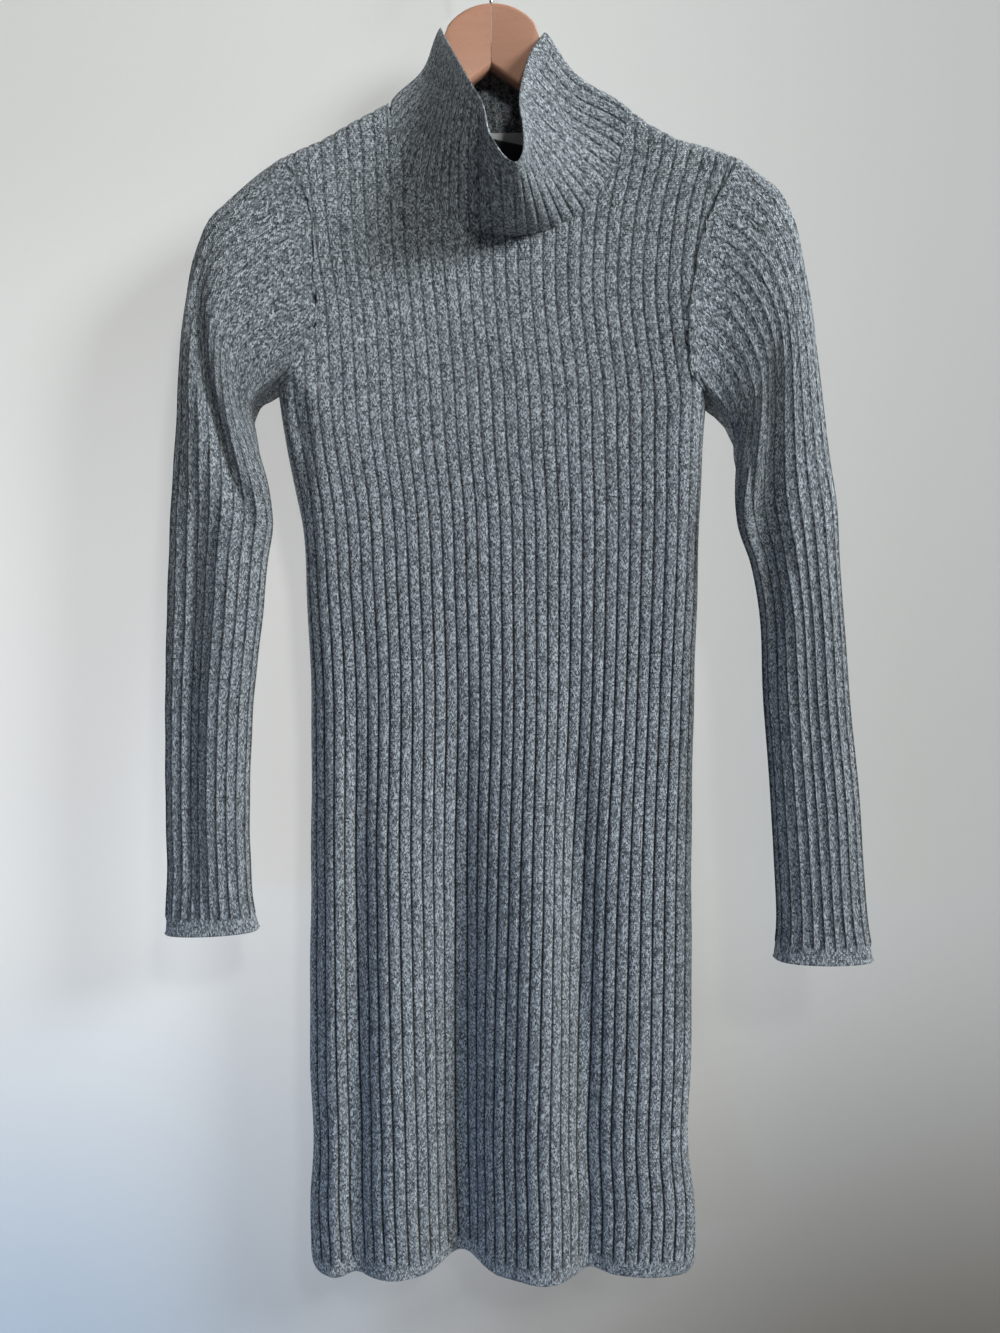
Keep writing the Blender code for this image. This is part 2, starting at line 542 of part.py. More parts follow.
def collar(front_edge, back_edge):
    """Collar rings, from the neckline's own points to the top edge."""
    seam = sewn_ring(front_edge, back_edge)
    front_share = np.linspace(0, 1, len(front_edge))
    back_share = np.linspace(0, 1, len(back_edge))[-2:0:-1]
    top = np.concatenate(
        [
            np.stack([smooth(front_share, COLLAR_TOP_FRONT["share"], COLLAR_TOP_FRONT[key]) for key in "xyz"], axis=1),
            np.stack([smooth(back_share, COLLAR_TOP_BACK["share"], COLLAR_TOP_BACK[key]) for key in "xyz"], axis=1),
        ]
    )
    from_middle = (2 * seam[:, 0] - NECK_LEFT[0] - NECK_RIGHT[0]) / (NECK_RIGHT[0] - NECK_LEFT[0])
    at_sides = np.clip(np.abs(from_middle), 0, 1) ** 4
    at_front = np.where(np.arange(len(seam)) < len(front_edge), 1 - at_sides, 0)
    rise = top - seam
    rise /= np.linalg.norm(rise, axis=1)[:, None]
    seam = seam + rise * (COLLAR_SEAM_GAP + COLLAR_SIDE_GAP * at_sides)[:, None]
    centre = (seam.mean(axis=0) + top.mean(axis=0)) / 2
    away = (seam + top) / 2 - centre
    away -= np.sum(away * rise, axis=1)[:, None] * rise
    away /= np.linalg.norm(away, axis=1)[:, None]
    share = np.linspace(0, 1, COLLAR_ROWS + 1)[:, None, None]
    arch = np.sin(math.pi * share)
    bulge = COLLAR_BULGE * at_front[None, :, None] * arch - COLLAR_HOLLOW * at_sides[None, :, None] * arch**2
    points = seam[None] * (1 - share) + top[None] * share + bulge * away[None]
    wall("collar", points, "grey_knit", closed_across=True, inwards=-1)


def patch(name, sizes, clear, finish):
    """A label: a piece of the back layer's inner face, moved in by its clearance."""
    x = np.linspace(sizes["left"], sizes["right"], 7)[None, :]
    z = np.linspace(sizes["top"], sizes["bottom"], 3)[:, None]
    x, z = np.broadcast_arrays(x, z - sizes["drop"] * (x - sizes["left"]) / (sizes["right"] - sizes["left"]))
    y = layer_y("back", x, z) - CLOTH - clear
    label = wall(name, np.stack([x, y, z], axis=-1), finish)
    label.modifiers["cloth"].thickness = sizes["thick"]


def loft(name, sections, finish):
    """Closed solid through rings of equal length, capped at both ends."""
    made = bmesh.new()
    rings = [[made.verts.new(point) for point in section] for section in sections]
    for before, after in zip(rings, rings[1:]):
        for k in range(len(before)):
            following = (k + 1) % len(before)
            made.faces.new((before[k], before[following], after[following], after[k]))
    made.faces.new(rings[0][::-1])
    made.faces.new(rings[-1])
    bmesh.ops.recalc_face_normals(made, faces=made.faces)
    mesh = bpy.data.meshes.new(name)
    made.to_mesh(mesh)
    made.free()
    return add_object(name, mesh, finish)


def hanger_section(x, top, bottom, half):
    """Upright rounded rectangle at one distance along the arm."""
    round_by = min(EDGE_ROUND, half * 0.85, (top - bottom) * 0.45)
    corners = ((half, top, 0), (-half, top, 1), (-half, bottom, 2), (half, bottom, 3))
    ring = []
    for y, z, quarter in corners:
        centre_y = y - math.copysign(round_by, y)
        centre_z = z - round_by if z == top else z + round_by
        for step in range(EDGE_STEPS + 1):
            angle = math.pi / 2 * (quarter + step / EDGE_STEPS)
            ring.append((x, centre_y + round_by * math.cos(angle), centre_z + round_by * math.sin(angle)))
    return ring


def hanger_arm(side):
    """One wooden half: a rounded top at the mitre, then the arm, swept forward."""
    outwards = -1 if side == "left" else 1
    hump_x = np.linspace(SEAM_GAP / 2, HANGER["x"][0], HUMP_SECTIONS + 1)[:-1]
    x = np.r_[hump_x, HANGER["x"]]
    top = np.r_[HUMP_CENTRE_Z + np.sqrt(HUMP_RADIUS**2 - hump_x**2), HANGER["top"]]
    bottom = np.r_[NOTCH_Z - NOTCH_SLOPE * hump_x, HANGER["bottom"]]
    half = np.r_[np.full(HUMP_SECTIONS, HANGER["half"][0]), HANGER["half"]]
    sections = []
    for values in zip(outwards * x, top, bottom, half):
        ring = hanger_section(*values)
        sections.append([(px, py + on_hanger(px), pz) for px, py, pz in ring])
    loft("hanger_arm_" + side, sections, "beech")


def hanger_hook():
    """Bent wire: up from the wood, out to one side, and round over the bearing point."""
    centre = (0.0, WIRE_RADIUS - HOOK_RADIUS)
    wood_top = HUMP_CENTRE_Z + HUMP_RADIUS + SEAM_GAP
    lead_in = math.radians(-60)
    route = [(0.0, wood_top), (0.0, wood_top + 0.006), (0.0, wood_top + 0.010)]
    start = (centre[0] + HOOK_RADIUS * math.cos(lead_in), centre[1] + HOOK_RADIUS * math.sin(lead_in))
    for share in (0.25, 0.5, 0.75):
        bow = math.sin(math.pi * share) * 0.0012
        x = start[0] * share * share * (3 - 2 * share)
        route.append((x + bow, route[2][1] + (start[1] - route[2][1]) * share))
    for angle in np.linspace(lead_in, math.radians(205), 28):
        route.append((centre[0] + HOOK_RADIUS * math.cos(angle), centre[1] + HOOK_RADIUS * math.sin(angle)))
    curve = bpy.data.curves.new("hanger_hook", "CURVE")
    curve.dimensions = "3D"
    curve.bevel_depth = WIRE_RADIUS
    curve.bevel_resolution = 2
    curve.use_fill_caps = True
    spline = curve.splines.new("POLY")
    spline.points.add(len(route) - 1)
    for point, (x, z) in zip(spline.points, route):
        point.co = (x, 0.0, z, 1.0)
    curve.materials.append(finish_of("steel"))
    hook = bpy.data.objects.new("hanger_hook", curve)
    bpy.data.collections["sweater_dress"].objects.link(hook)


def main():
    clear_scene()
    bpy.context.scene.collection.children.link(bpy.data.collections.new("sweater_dress"))
    front, front_edges = body_layer("front")
    back, back_edges = body_layer("back")
    lengths_of("front", front, "grey_knit", 1)
    lengths_of("back", back, "grey_knit", -1)
    for side in ("left", "right"):
        sleeve(side, front_edges[side], back_edges[side])
    collar(front_edges["neck"], back_edges["neck"])
    patch("neck_label", NECK_LABEL, LABEL_CLEAR, "white_label")
    patch("size_tab", SIZE_TAB, TAB_CLEAR, "black_tab")
    for side in ("left", "right"):
        hanger_arm(side)
    hanger_hook()


main()
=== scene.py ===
"""Sweater dress on its hanger: marled rib knit, labels, wood, wire and stage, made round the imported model.

Metres, +Z up, +X to the viewer's right, +Y away from the viewer. The origin is the point inside the top of
the hook that rests on a rail. Run it as a script: it is laid out as an add-on, with one operator for each
group of like pieces.
"""

import math

import bmesh
import bpy
import numpy as np
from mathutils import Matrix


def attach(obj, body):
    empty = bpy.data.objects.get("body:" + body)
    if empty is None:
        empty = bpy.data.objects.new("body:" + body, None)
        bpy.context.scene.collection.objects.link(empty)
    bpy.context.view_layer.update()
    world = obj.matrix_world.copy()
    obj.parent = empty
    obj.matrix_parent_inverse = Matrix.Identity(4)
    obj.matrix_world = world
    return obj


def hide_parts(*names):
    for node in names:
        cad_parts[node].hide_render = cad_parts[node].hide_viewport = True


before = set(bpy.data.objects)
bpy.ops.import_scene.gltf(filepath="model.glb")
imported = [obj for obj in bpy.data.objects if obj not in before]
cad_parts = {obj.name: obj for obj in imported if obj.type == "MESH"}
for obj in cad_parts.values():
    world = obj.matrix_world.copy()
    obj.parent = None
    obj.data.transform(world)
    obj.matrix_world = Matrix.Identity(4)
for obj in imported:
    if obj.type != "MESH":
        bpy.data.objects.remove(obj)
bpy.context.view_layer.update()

bl_info = {
    "name": "Sweater Dress on a Hanger",
    "version": (1, 0, 0),
    "blender": (4, 5, 0),
    "location": "3D View > Sidebar > Dress",
    "description": "Builds a rib-knit dress with a funnel neck, on a contoured wooden hanger",
    "category": "Add Mesh",
}

# The hanger: half its length, how far its tips come forward, its turn, and its rounded top
HANGER_HALF = 0.216
ARM_SWEEP = 0.028
ARM_SWEEP_POWER = 1.6
HANGER_TURN = math.radians(2.5)
HUMP_RADIUS = 0.042
HUMP_CENTRE_Z = -0.107
WIRE_RADIUS = 0.0016
HOOK_RADIUS = 0.0195
MITRE_GAP = 0.0003
HANGER = {
    "x": (0.0354, 0.0444, 0.0535, 0.066, 0.084, 0.108, 0.132, 0.152, 0.170, 0.190, 0.207, 0.216),
    "top": (
        *(-0.0862, -0.1125, -0.1345, -0.1510, -0.1610, -0.1705),
        *(-0.1835, -0.1950, -0.2070, -0.2240, -0.2395, -0.2500),
    ),
    "bottom": (
        *(-0.1432, -0.1499, -0.1567, -0.1665, -0.1805, -0.1950),
        *(-0.2085, -0.2190, -0.2295, -0.2445, -0.2580, -0.2620),
    ),
    "half": (0.0060, 0.0060, 0.0060, 0.0062, 0.0064, 0.0068, 0.0070, 0.0070, 0.0070, 0.0068, 0.0064, 0.0050),
}
NOTCH_Z = -0.1166
NOTCH_SLOPE = 0.75
WOOD_ROUND = 0.005

# The cut of the body
ARMPITS = {"left": (-0.1655, -0.3755), "right": (0.1655, -0.3845)}
SLIT_TOP_Z = -0.975
HEM_Z = -1.0615
HEM_LIFT = 0.28
HEM_LIFT_REACH = 0.100
SLIT_CORNER = 0.014
SLIT_SPREAD = 0.005
SIDE_ROUND = 0.024
SHOULDER_ROUND = 0.012
SEAM_STRIP = 0.004
SEAM_GAP = 0.0003
WALL = 0.002
SKIRT_Y = 0.004
SWEEP_FADES_FROM = -0.30
SWEEP_GONE_AT = -0.65
NECK_LEFT = (-0.0780, -0.1450)
NECK_RIGHT = (0.1040, -0.1550)
NECK_DROP = {"front": 0.106, "back": 0.012}
NECK_POWER = 2.1
SIDES = {
    "z": (-0.3755, -0.400, -0.425, -0.450, -0.475, -0.530, -0.600, -0.740, -0.900, -0.975, -1.010, -1.0615),
    "left": (
        *(-0.1655, -0.1625, -0.1585, -0.1535, -0.1485, -0.1455),
        *(-0.1425, -0.1425, -0.1430, -0.1408, -0.1428, -0.1415),
    ),
    "right": (0.1655, 0.1645, 0.1632, 0.1625, 0.1620, 0.1615, 0.1605, 0.1585, 0.1582, 0.1565, 0.1610, 0.1608),
}
DEPTHS = {
    "z": (-0.150, -0.200, -0.260, -0.350, -0.450, -0.600, -0.800, -1.0615),
    "front": (0.0100, 0.0120, 0.0160, 0.0220, 0.0240, 0.0200, 0.0180, 0.0170),
    "back": (0.0100, 0.0100, 0.0120, 0.0150, 0.0170, 0.0170, 0.0170, 0.0170),
}
SHOULDER_LEFT = {
    "x": (-0.2230, -0.2105, -0.1891, -0.1676, -0.1614, -0.1520, -0.1316, -0.1080, -0.0841, -0.0780),
    "z": (-0.2490, -0.2362, -0.2171, -0.1978, -0.1944, -0.1890, -0.1785, -0.1635, -0.1490, -0.1450),
}
SHOULDER_RIGHT = {
    "x": (0.1040, 0.1204, 0.1429, 0.1629, 0.1866, 0.2048, 0.2178, 0.2261, 0.2293),
    "z": (-0.1550, -0.1700, -0.1850, -0.1930, -0.2045, -0.2195, -0.2325, -0.2455, -0.2575),
}
ARMHOLES = {
    "left": {
        "x": (-0.1614, -0.1520, -0.1420, -0.1375, -0.1355, -0.1340, -0.1335, -0.1400, -0.1475, -0.1655),
        "z": (-0.1944, -0.2116, -0.2268, -0.2469, -0.2781, -0.3096, -0.3253, -0.3460, -0.3624, -0.3755),
    },
    "right": {
        "x": (0.1866, 0.1790, 0.1690, 0.1585, 0.1510, 0.1480, 0.1475, 0.1500, 0.1570, 0.1655),
        "z": (-0.2045, -0.2200, -0.2381, -0.2672, -0.3043, -0.3300, -0.3450, -0.3660, -0.3780, -0.3845),
    },
}

# Above the armpits the ribs spread: where the first and the last would run if no armhole cut them
RIB_SPREAD = {
    "z": (-0.400, -0.3755, -0.330, -0.273, -0.235, -0.200, -0.140),
    "left": (-0.1625, -0.1660, -0.1770, -0.1900, -0.1970, -0.2030, -0.2120),
    "right": (0.1645, 0.1657, 0.1685, 0.1735, 0.1805, 0.1915, 0.1960),
}
SPLIT_Z = -0.400
SPREAD_BLEND = 0.10
CHEST_Z = -0.34
# Extra columns beside the neck points, in ribs, where the neckline drops steeply
NECK_POINT_STEPS = (-0.03, 0.0, 0.006, 0.018, 0.045, 0.09)

# Folds: the line each follows, how far it stands out (a trough is negative), half width, and fade length
FOLD_COLUMNS = ("layer", "x_top", "z_top", "x_bottom", "z_bottom", "height", "width", "fade")
FOLDS = (
    ("front", -0.118, -0.560, -0.121, -1.200, 0.0050, 0.010, 0.20),
    ("front", -0.102, -0.520, -0.105, -1.200, -0.0050, 0.010, 0.25),
    ("front", -0.075, -0.500, -0.076, -1.200, 0.0090, 0.020, 0.40),
    ("front", -0.027, -0.480, -0.023, -1.200, -0.0240, 0.018, 0.55),
    ("front", 0.030, -0.480, 0.043, -1.200, 0.0160, 0.027, 0.45),
    ("front", 0.060, -0.500, 0.079, -1.200, -0.0100, 0.014, 0.30),
    ("front", 0.092, -0.500, 0.130, -1.200, 0.0040, 0.022, 0.40),
    ("front", -0.148, -0.360, -0.141, -0.490, -0.0060, 0.008, 0.05),
    ("front", 0.020, -0.250, 0.010, -0.560, 0.0030, 0.050, 0.12),
    ("back", -0.095, -0.560, -0.100, -1.200, 0.0050, 0.022, 0.35),
    ("back", -0.045, -0.520, -0.040, -1.200, -0.0040, 0.020, 0.40),
    ("back", 0.020, -0.500, 0.020, -1.200, 0.0060, 0.024, 0.45),
    ("back", 0.075, -0.520, 0.080, -1.200, -0.0050, 0.018, 0.40),
    ("back", 0.118, -0.560, 0.124, -1.200, 0.0050, 0.020, 0.35),
)

# Small creases of the finished cloth, each along a short line that it fades from at both ends
CREASE_COLUMNS = ("layer", "x_from", "z_from", "x_to", "z_to", "height", "width")
CREASES = (
    ("front", -0.152, -0.368, -0.118, -0.395, 0.0022, 0.006),
    ("front", -0.158, -0.392, -0.128, -0.425, -0.0018, 0.005),
    ("front", 0.158, -0.378, 0.128, -0.402, 0.0018, 0.006),
    ("front", 0.160, -0.398, 0.138, -0.440, -0.0016, 0.005),
    ("front", -0.060, -0.262, -0.012, -0.290, 0.0010, 0.012),
    ("front", 0.085, -0.262, 0.050, -0.330, 0.0010, 0.012),
    ("back", -0.150, -0.370, -0.110, -0.400, 0.0020, 0.007),
    ("back", 0.152, -0.380, 0.115, -0.412, 0.0020, 0.007),
    ("back", -0.060, -0.215, 0.080, -0.222, -0.0014, 0.010),
    ("back", -0.120, -0.500, 0.040, -0.520, 0.0012, 0.014),
)

# Sleeves: outer and inner ends of each ring, its depths from its own middle, and the crease on its front
SLEEVE_COLUMNS = ("outer_x", "outer_z", "inner_x", "inner_z", "front", "back", "crease_at", "crease")
SLEEVES = {
    "left": (
        (-0.1807, -0.2090, -0.1780, -0.3800, 0.022, 0.018, 0.10, 0.000),
        (-0.2017, -0.2285, -0.1850, -0.3850, 0.024, 0.019, 0.10, 0.001),
        (-0.2197, -0.2470, -0.1870, -0.3910, 0.025, 0.019, 0.12, 0.003),
        (-0.2287, -0.2760, -0.1860, -0.3990, 0.025, 0.019, 0.18, 0.006),
        (-0.2347, -0.3130, -0.1840, -0.4100, 0.025, 0.019, 0.30, 0.008),
        (-0.2387, -0.3520, -0.1800, -0.4260, 0.024, 0.019, 0.45, 0.010),
        (-0.2402, -0.3910, -0.1750, -0.4460, 0.024, 0.019, 0.58, 0.010),
        (-0.2427, -0.4310, -0.1710, -0.4660, 0.023, 0.019, 0.70, 0.008),
        (-0.2450, -0.4640, -0.1700, -0.4820, 0.022, 0.018, 0.80, 0.005),
        (-0.2470, -0.5070, -0.1740, -0.5070, 0.020, 0.017, 0.86, 0.002),
        (-0.2490, -0.5550, -0.1785, -0.5550, 0.018, 0.016, 0.86, 0.000),
        (-0.2500, -0.6150, -0.1850, -0.6150, 0.018, 0.016, 0.80, 0.000),
        (-0.2500, -0.6900, -0.1880, -0.6900, 0.017, 0.015, 0.80, 0.000),
        (-0.2490, -0.7450, -0.1870, -0.7450, 0.016, 0.014, 0.80, 0.000),
        (-0.2500, -0.7750, -0.1845, -0.7740, 0.017, 0.014, 0.80, 0.000),
        (-0.2510, -0.7940, -0.1800, -0.7910, 0.020, 0.015, 0.80, 0.000),
    ),
    "right": (
        (0.2040, -0.2190, 0.1715, -0.3900, 0.022, 0.018, 0.90, 0.000),
        (0.2163, -0.2321, 0.1775, -0.3970, 0.024, 0.019, 0.80, 0.000),
        (0.2278, -0.2570, 0.1830, -0.4060, 0.025, 0.019, 0.60, 0.000),
        (0.2335, -0.2860, 0.1855, -0.4160, 0.025, 0.019, 0.58, 0.002),
        (0.2395, -0.3180, 0.1865, -0.4270, 0.025, 0.019, 0.60, 0.004),
        (0.2435, -0.3540, 0.1870, -0.4410, 0.025, 0.019, 0.63, 0.006),
        (0.2485, -0.3920, 0.1865, -0.4600, 0.024, 0.019, 0.67, 0.008),
        (0.2535, -0.4350, 0.1870, -0.4760, 0.023, 0.019, 0.70, 0.009),
        (0.2585, -0.4710, 0.1905, -0.4910, 0.022, 0.018, 0.74, 0.009),
        (0.2605, -0.5100, 0.1985, -0.5150, 0.020, 0.017, 0.80, 0.007),
        (0.2635, -0.5580, 0.2045, -0.5550, 0.019, 0.016, 0.86, 0.003),
        (0.2685, -0.6180, 0.2070, -0.6140, 0.018, 0.016, 0.86, 0.000),
        (0.2755, -0.6890, 0.2120, -0.6890, 0.018, 0.016, 0.80, 0.000),
        (0.2790, -0.7410, 0.2150, -0.7410, 0.017, 0.015, 0.80, 0.000),
        (0.2815, -0.7800, 0.2165, -0.7800, 0.018, 0.015, 0.80, 0.000),
        (0.2860, -0.8080, 0.2140, -0.8080, 0.021, 0.016, 0.80, 0.000),
    ),
}
SLEEVE_MIDDLE_Y = {"left": -0.0185, "right": -0.0400}
CAP_RINGS = 3
CAP_CROWD = 0.20
CAP_CROWD_RINGS = 9
CAP_RIBS = 4
SLEEVE_ROUND = 0.7
SLEEVE_CREASE_WIDTH = 0.13
BACK_CREASE_SHARE = 0.4
HALF_RING = 120
ARMPIT_EASE_RINGS = 8

# Creases along the sleeves: rings from and to, place across at each end, half width, and depth, which is
# negative on a ridge
SLEEVE_CREASE_COLUMNS = ("side", "ring_from", "ring_to", "at_from", "at_to", "width", "depth")
SLEEVE_CREASES = (
    ("left", 7.0, 14.5, 0.34, 0.34, 0.13, 0.0050),
    ("left", 6.0, 14.0, 0.66, 0.62, 0.12, -0.0022),
    ("left", 2.0, 6.0, 0.80, 0.92, 0.07, 0.0030),
    ("right", 3.0, 11.5, 0.86, 0.88, 0.08, 0.0045),
    ("right", 8.0, 13.0, 0.40, 0.55, 0.12, 0.0022),
    ("right", 2.5, 8.5, 0.93, 0.97, 0.05, -0.0030),
)

# Top edge of the collar, from its left side round the front and back again
COLLAR_TOP = {
    "front": {
        "share": (0.0, 0.12, 0.25, 0.36, 0.45, 0.50, 0.55, 0.61, 0.70, 0.78, 0.87, 0.95, 1.0),
        "x": (
            *(-0.0400, -0.0270, -0.0160, -0.0065, -0.0002, 0.0098, 0.0183),
            *(0.0237, 0.0240, 0.0213, 0.0251, 0.0325, 0.0420),
        ),
        "y": (
            *(-0.006, -0.030, -0.050, -0.066, -0.080, -0.089, -0.092),
            *(-0.088, -0.075, -0.060, -0.040, -0.020, -0.008),
        ),
        "z": (
            *(-0.0860, -0.1222, -0.1526, -0.1792, -0.2104, -0.2291, -0.2341),
            *(-0.2251, -0.1985, -0.1730, -0.1409, -0.1101, -0.0905),
        ),
    },
    "back": {
        "share": (0.0, 0.10, 0.25, 0.50, 0.75, 0.90, 1.0),
        "x": (-0.0400, -0.0410, -0.0345, 0.0020, 0.0365, 0.0430, 0.0420),
        "y": (-0.006, 0.004, 0.014, 0.020, 0.013, 0.002, -0.008),
        "z": (-0.0860, -0.0865, -0.0850, -0.0830, -0.0865, -0.0895, -0.0905),
    },
}
COLLAR_BULGE = 0.006
COLLAR_HOLLOW = 0.0070
COLLAR_LAP = 0.0010
# How far round the top edge each place on the seam's ribs reaches: they crowd up to the left of the dip
COLLAR_LEAN = {
    "seam": (0.0, 0.12, 0.25, 0.36, 0.44, 0.51, 0.60, 0.75, 0.90, 1.0),
    "top": (0.0, 0.060, 0.125, 0.210, 0.335, 0.50, 0.605, 0.745, 0.90, 1.0),
}

# Labels inside the back of the neck
LABEL_COLUMNS = ("left", "right", "top", "bottom", "drop", "clear")
LABELS = {
    "neck": (-0.010, 0.037, -0.1608, -0.1738, 0.0012, 0.0011),
    "tab": (-0.002, 0.0335, -0.1654, -0.1930, 0.0088, 0.0023),
}
LABEL_THICK = 0.00048
LABEL_WAVE = 0.00035

# Knit: columns of points across one rib, the plain band at a free edge, and the stitches
RIB_STEPS = (0.0, 0.085, 0.19, 0.5, 0.81, 0.915)
GROOVE = 0.085
PLAIN_BAND = 0.0085
BAND_FADE = 0.005
EDGE_ROLL = 0.0018
SEAM_FADE = 0.0030
SEAM_SINK = 0.35
EDGE_STEPS = (0.0, 0.0007, 0.0018, 0.0038, 0.0065, 0.0085, 0.0105, 0.0130, 0.0170)
SEAM_STEPS = (0.0, 0.0008, 0.0020, 0.0036, 0.0060, 0.0100, 0.0150)
ROW_STEP = 0.0068
WALES_A_RIB = 5
COURSE = 0.0014
CLOSE_ROWS = (SEAM_GAP, 0.0012, 0.0024)
SLEEVE_ROW_STEP = 0.0058
UNEVEN_SIZES = (0.045, 0.085, 0.150, 0.260)
UNEVEN = 0.0004
SLEEVE_UNEVEN = 0.0005

# Depth of the ribs as a share of the full height: at the chest or the armhole, and what it gains below. The
# same share sets how dark the painted shade in the grooves is; the collar's painted shade has its own share.
BODY_RELIEF, BODY_RELIEF_GAIN = 0.55, 0.55
SLEEVE_RELIEF, SLEEVE_RELIEF_GAIN = 0.35, 0.60
COLLAR_RELIEF, COLLAR_PAINTED_SHADE = 0.75, 0.55
RELIEF_REACH = 0.30
# Rib numbers of the sleeves and the collar start elsewhere than the body's, so that their marl differs
SLEEVE_KNIT = 100
COLLAR_KNIT = 200
COLLAR_RUN = 3

# Camera and stage
CAMERA_AT = (0.007, -0.82, -0.589)
CAMERA_LENS = 27.95
CAMERA_SENSOR = 36.0
WALL_Y = 0.047
WALL_HALF = 2.2
WALL_TOP = 1.2
FLOOR_Z = -1.42
FLOOR_HALF = 4.0
SKY_COLOUR = (0.86, 0.92, 1.0)
SKY_STRENGTH = 0.07
LIGHT_COLUMNS = ("name", "at", "towards", "size", "spread", "power", "colour")
LIGHTS = (
    ("key_softbox", (2.30, -1.35, 0.75), (0.0, 0.0, -0.45), 1.0, 76, 19.5, (0.93, 0.985, 1.0)),
    ("front_softbox", (0.75, -2.10, 0.75), (0.0, 0.0, -0.30), 0.35, 70, 3.0, (0.97, 1.0, 0.95)),
    ("low_fill", (-1.00, -1.10, -1.35), (-0.05, 0.0, -1.10), 0.6, 56, 0.8, (0.20, 0.48, 1.0)),
    ("back_softbox_left", (-1.30, 1.50, 0.30), (0.0, 0.0, -0.50), 1.2, 180, 22.0, (1.0, 1.0, 1.0)),
    ("back_softbox_right", (1.30, 1.60, 0.10), (0.0, 0.0, -0.55), 1.2, 180, 18.0, (1.0, 1.0, 1.0)),
)


# ---------------------------------------------------------------- curves and fields


def smooth(at, knots, values):
    """Cubic Hermite curve through the knots, with the slopes of their neighbours."""
    knots = np.asarray(knots, float)
    values = np.asarray(values, float)
    if knots[0] > knots[-1]:
        knots, values = knots[::-1], values[::-1]
    slopes = np.gradient(values, knots)
    at = np.clip(np.asarray(at, float), knots[0], knots[-1])
    left = np.clip(np.searchsorted(knots, at) - 1, 0, len(knots) - 2)
    step = knots[left + 1] - knots[left]
    t = (at - knots[left]) / step
    return (
        (2 * t**3 - 3 * t**2 + 1) * values[left]
        + (t**3 - 2 * t**2 + t) * step * slopes[left]
        + (3 * t**2 - 2 * t**3) * values[left + 1]
        + (t**3 - t**2) * step * slopes[left + 1]
    )


def eased(share):
    """0 to 1 with level ends."""
    share = np.clip(share, 0.0, 1.0)
    return share * share * (3 - 2 * share)


def rounded(distance, radius):
    """Quarter round: 0 at an edge, 1 from one radius inside it."""
    share = np.clip(distance / radius, 0.0, 1.0)
    return np.sqrt(1 - (1 - share) ** 2)


def bell(distance, width):
    """Gaussian: 1 on its line, 1/e at its width."""
    return np.exp(-((distance / width) ** 2))


def on_hanger(x):
    """Depth of the hanger's middle: its tips sweep forward, and it hangs a little turned."""
    sweep = ARM_SWEEP * (np.abs(x) / HANGER_HALF) ** ARM_SWEEP_POWER
    return -sweep - math.tan(HANGER_TURN) * x


def middle(x, z):
    """Depth of the plane between the front and back layers."""
    held = eased((z - SWEEP_GONE_AT) / (SWEEP_FADES_FROM - SWEEP_GONE_AT))
    return held * on_hanger(x) + (1 - held) * SKIRT_Y


def shoulder_z(x):
    """Height of the shoulder line, carried straight across the neck opening."""
    return np.interp(x, SHOULDER_LEFT["x"] + SHOULDER_RIGHT["x"], SHOULDER_LEFT["z"] + SHOULDER_RIGHT["z"])


def side_distance(x, z):
    """How far a point is from the nearer side seam, or from the armpit above it."""
    found = []
    for side, inwards in (("left", 1), ("right", -1)):
        armpit = ARMPITS[side]
        below = inwards * (x - smooth(z, SIDES["z"], SIDES[side]))
        above = np.hypot(x - armpit[0], z - armpit[1])
        found.append(np.where(z < armpit[1], below, above))
    return np.clip(np.minimum(*found), 0.0, None)


def fold_height(layer, x, z):
    """Sum of this layer's folds: each is a soft bell across its own line, faded at both ends."""
    total = np.zeros(np.broadcast(x, z).shape)
    for row in FOLDS:
        fold = dict(zip(FOLD_COLUMNS, row))
        if fold["layer"] != layer:
            continue
        along = (fold["z_top"] - z) / (fold["z_top"] - fold["z_bottom"])
        line = fold["x_top"] + (fold["x_bottom"] - fold["x_top"]) * np.clip(along, 0, 1)
        fade = eased((fold["z_top"] - z) / fold["fade"])
        if fold["z_bottom"] > HEM_Z:
            fade = fade * eased((z - fold["z_bottom"]) / fold["fade"])
        total = total + fold["height"] * fade * bell(x - line, fold["width"])
    return total


def crease_height(layer, x, z):
    """Sum of the small creases: a bell across each line times a half sine along it."""
    total = np.zeros(np.broadcast(x, z).shape)
    for row in CREASES:
        crease = dict(zip(CREASE_COLUMNS, row))
        if crease["layer"] != layer:
            continue
        start = np.array([crease["x_from"], crease["z_from"]])
        line = np.array([crease["x_to"], crease["z_to"]]) - start
        length = np.hypot(*line)
        along = ((x - start[0]) * line[0] + (z - start[1]) * line[1]) / length**2
        off = ((x - start[0]) * line[1] - (z - start[1]) * line[0]) / length
        fade = np.sin(math.pi * np.clip(0.5 + (along - 0.5) / 1.3, 0, 1))
        total = total + crease["height"] * fade * bell(off, crease["width"])
    return total


def layer_y(layer, x, z, creased=True):
    """Depth of a layer's face: the middle plane, out by the seam strip and the depth, both rounded off at
    the layer's edges."""
    outwards = -1 if layer == "front" else 1
    side = side_distance(x, z)
    below_top = shoulder_z(x) - z
    depth = smooth(z, DEPTHS["z"], DEPTHS[layer]) + fold_height(layer, x, z)
    if creased:
        depth = depth + crease_height(layer, x, z)
    depth = depth * rounded(side, SIDE_ROUND) * rounded(below_top, SHOULDER_ROUND)
    strip = SEAM_STRIP * rounded(side, SEAM_STRIP) * rounded(below_top, SEAM_STRIP)
    spread = SLIT_SPREAD * eased((SLIT_TOP_Z - z) / (SLIT_TOP_Z - HEM_Z)) * (1 - rounded(side, SIDE_ROUND))
    return middle(x, z) + outwards * (strip + depth + spread + SEAM_GAP / 2)


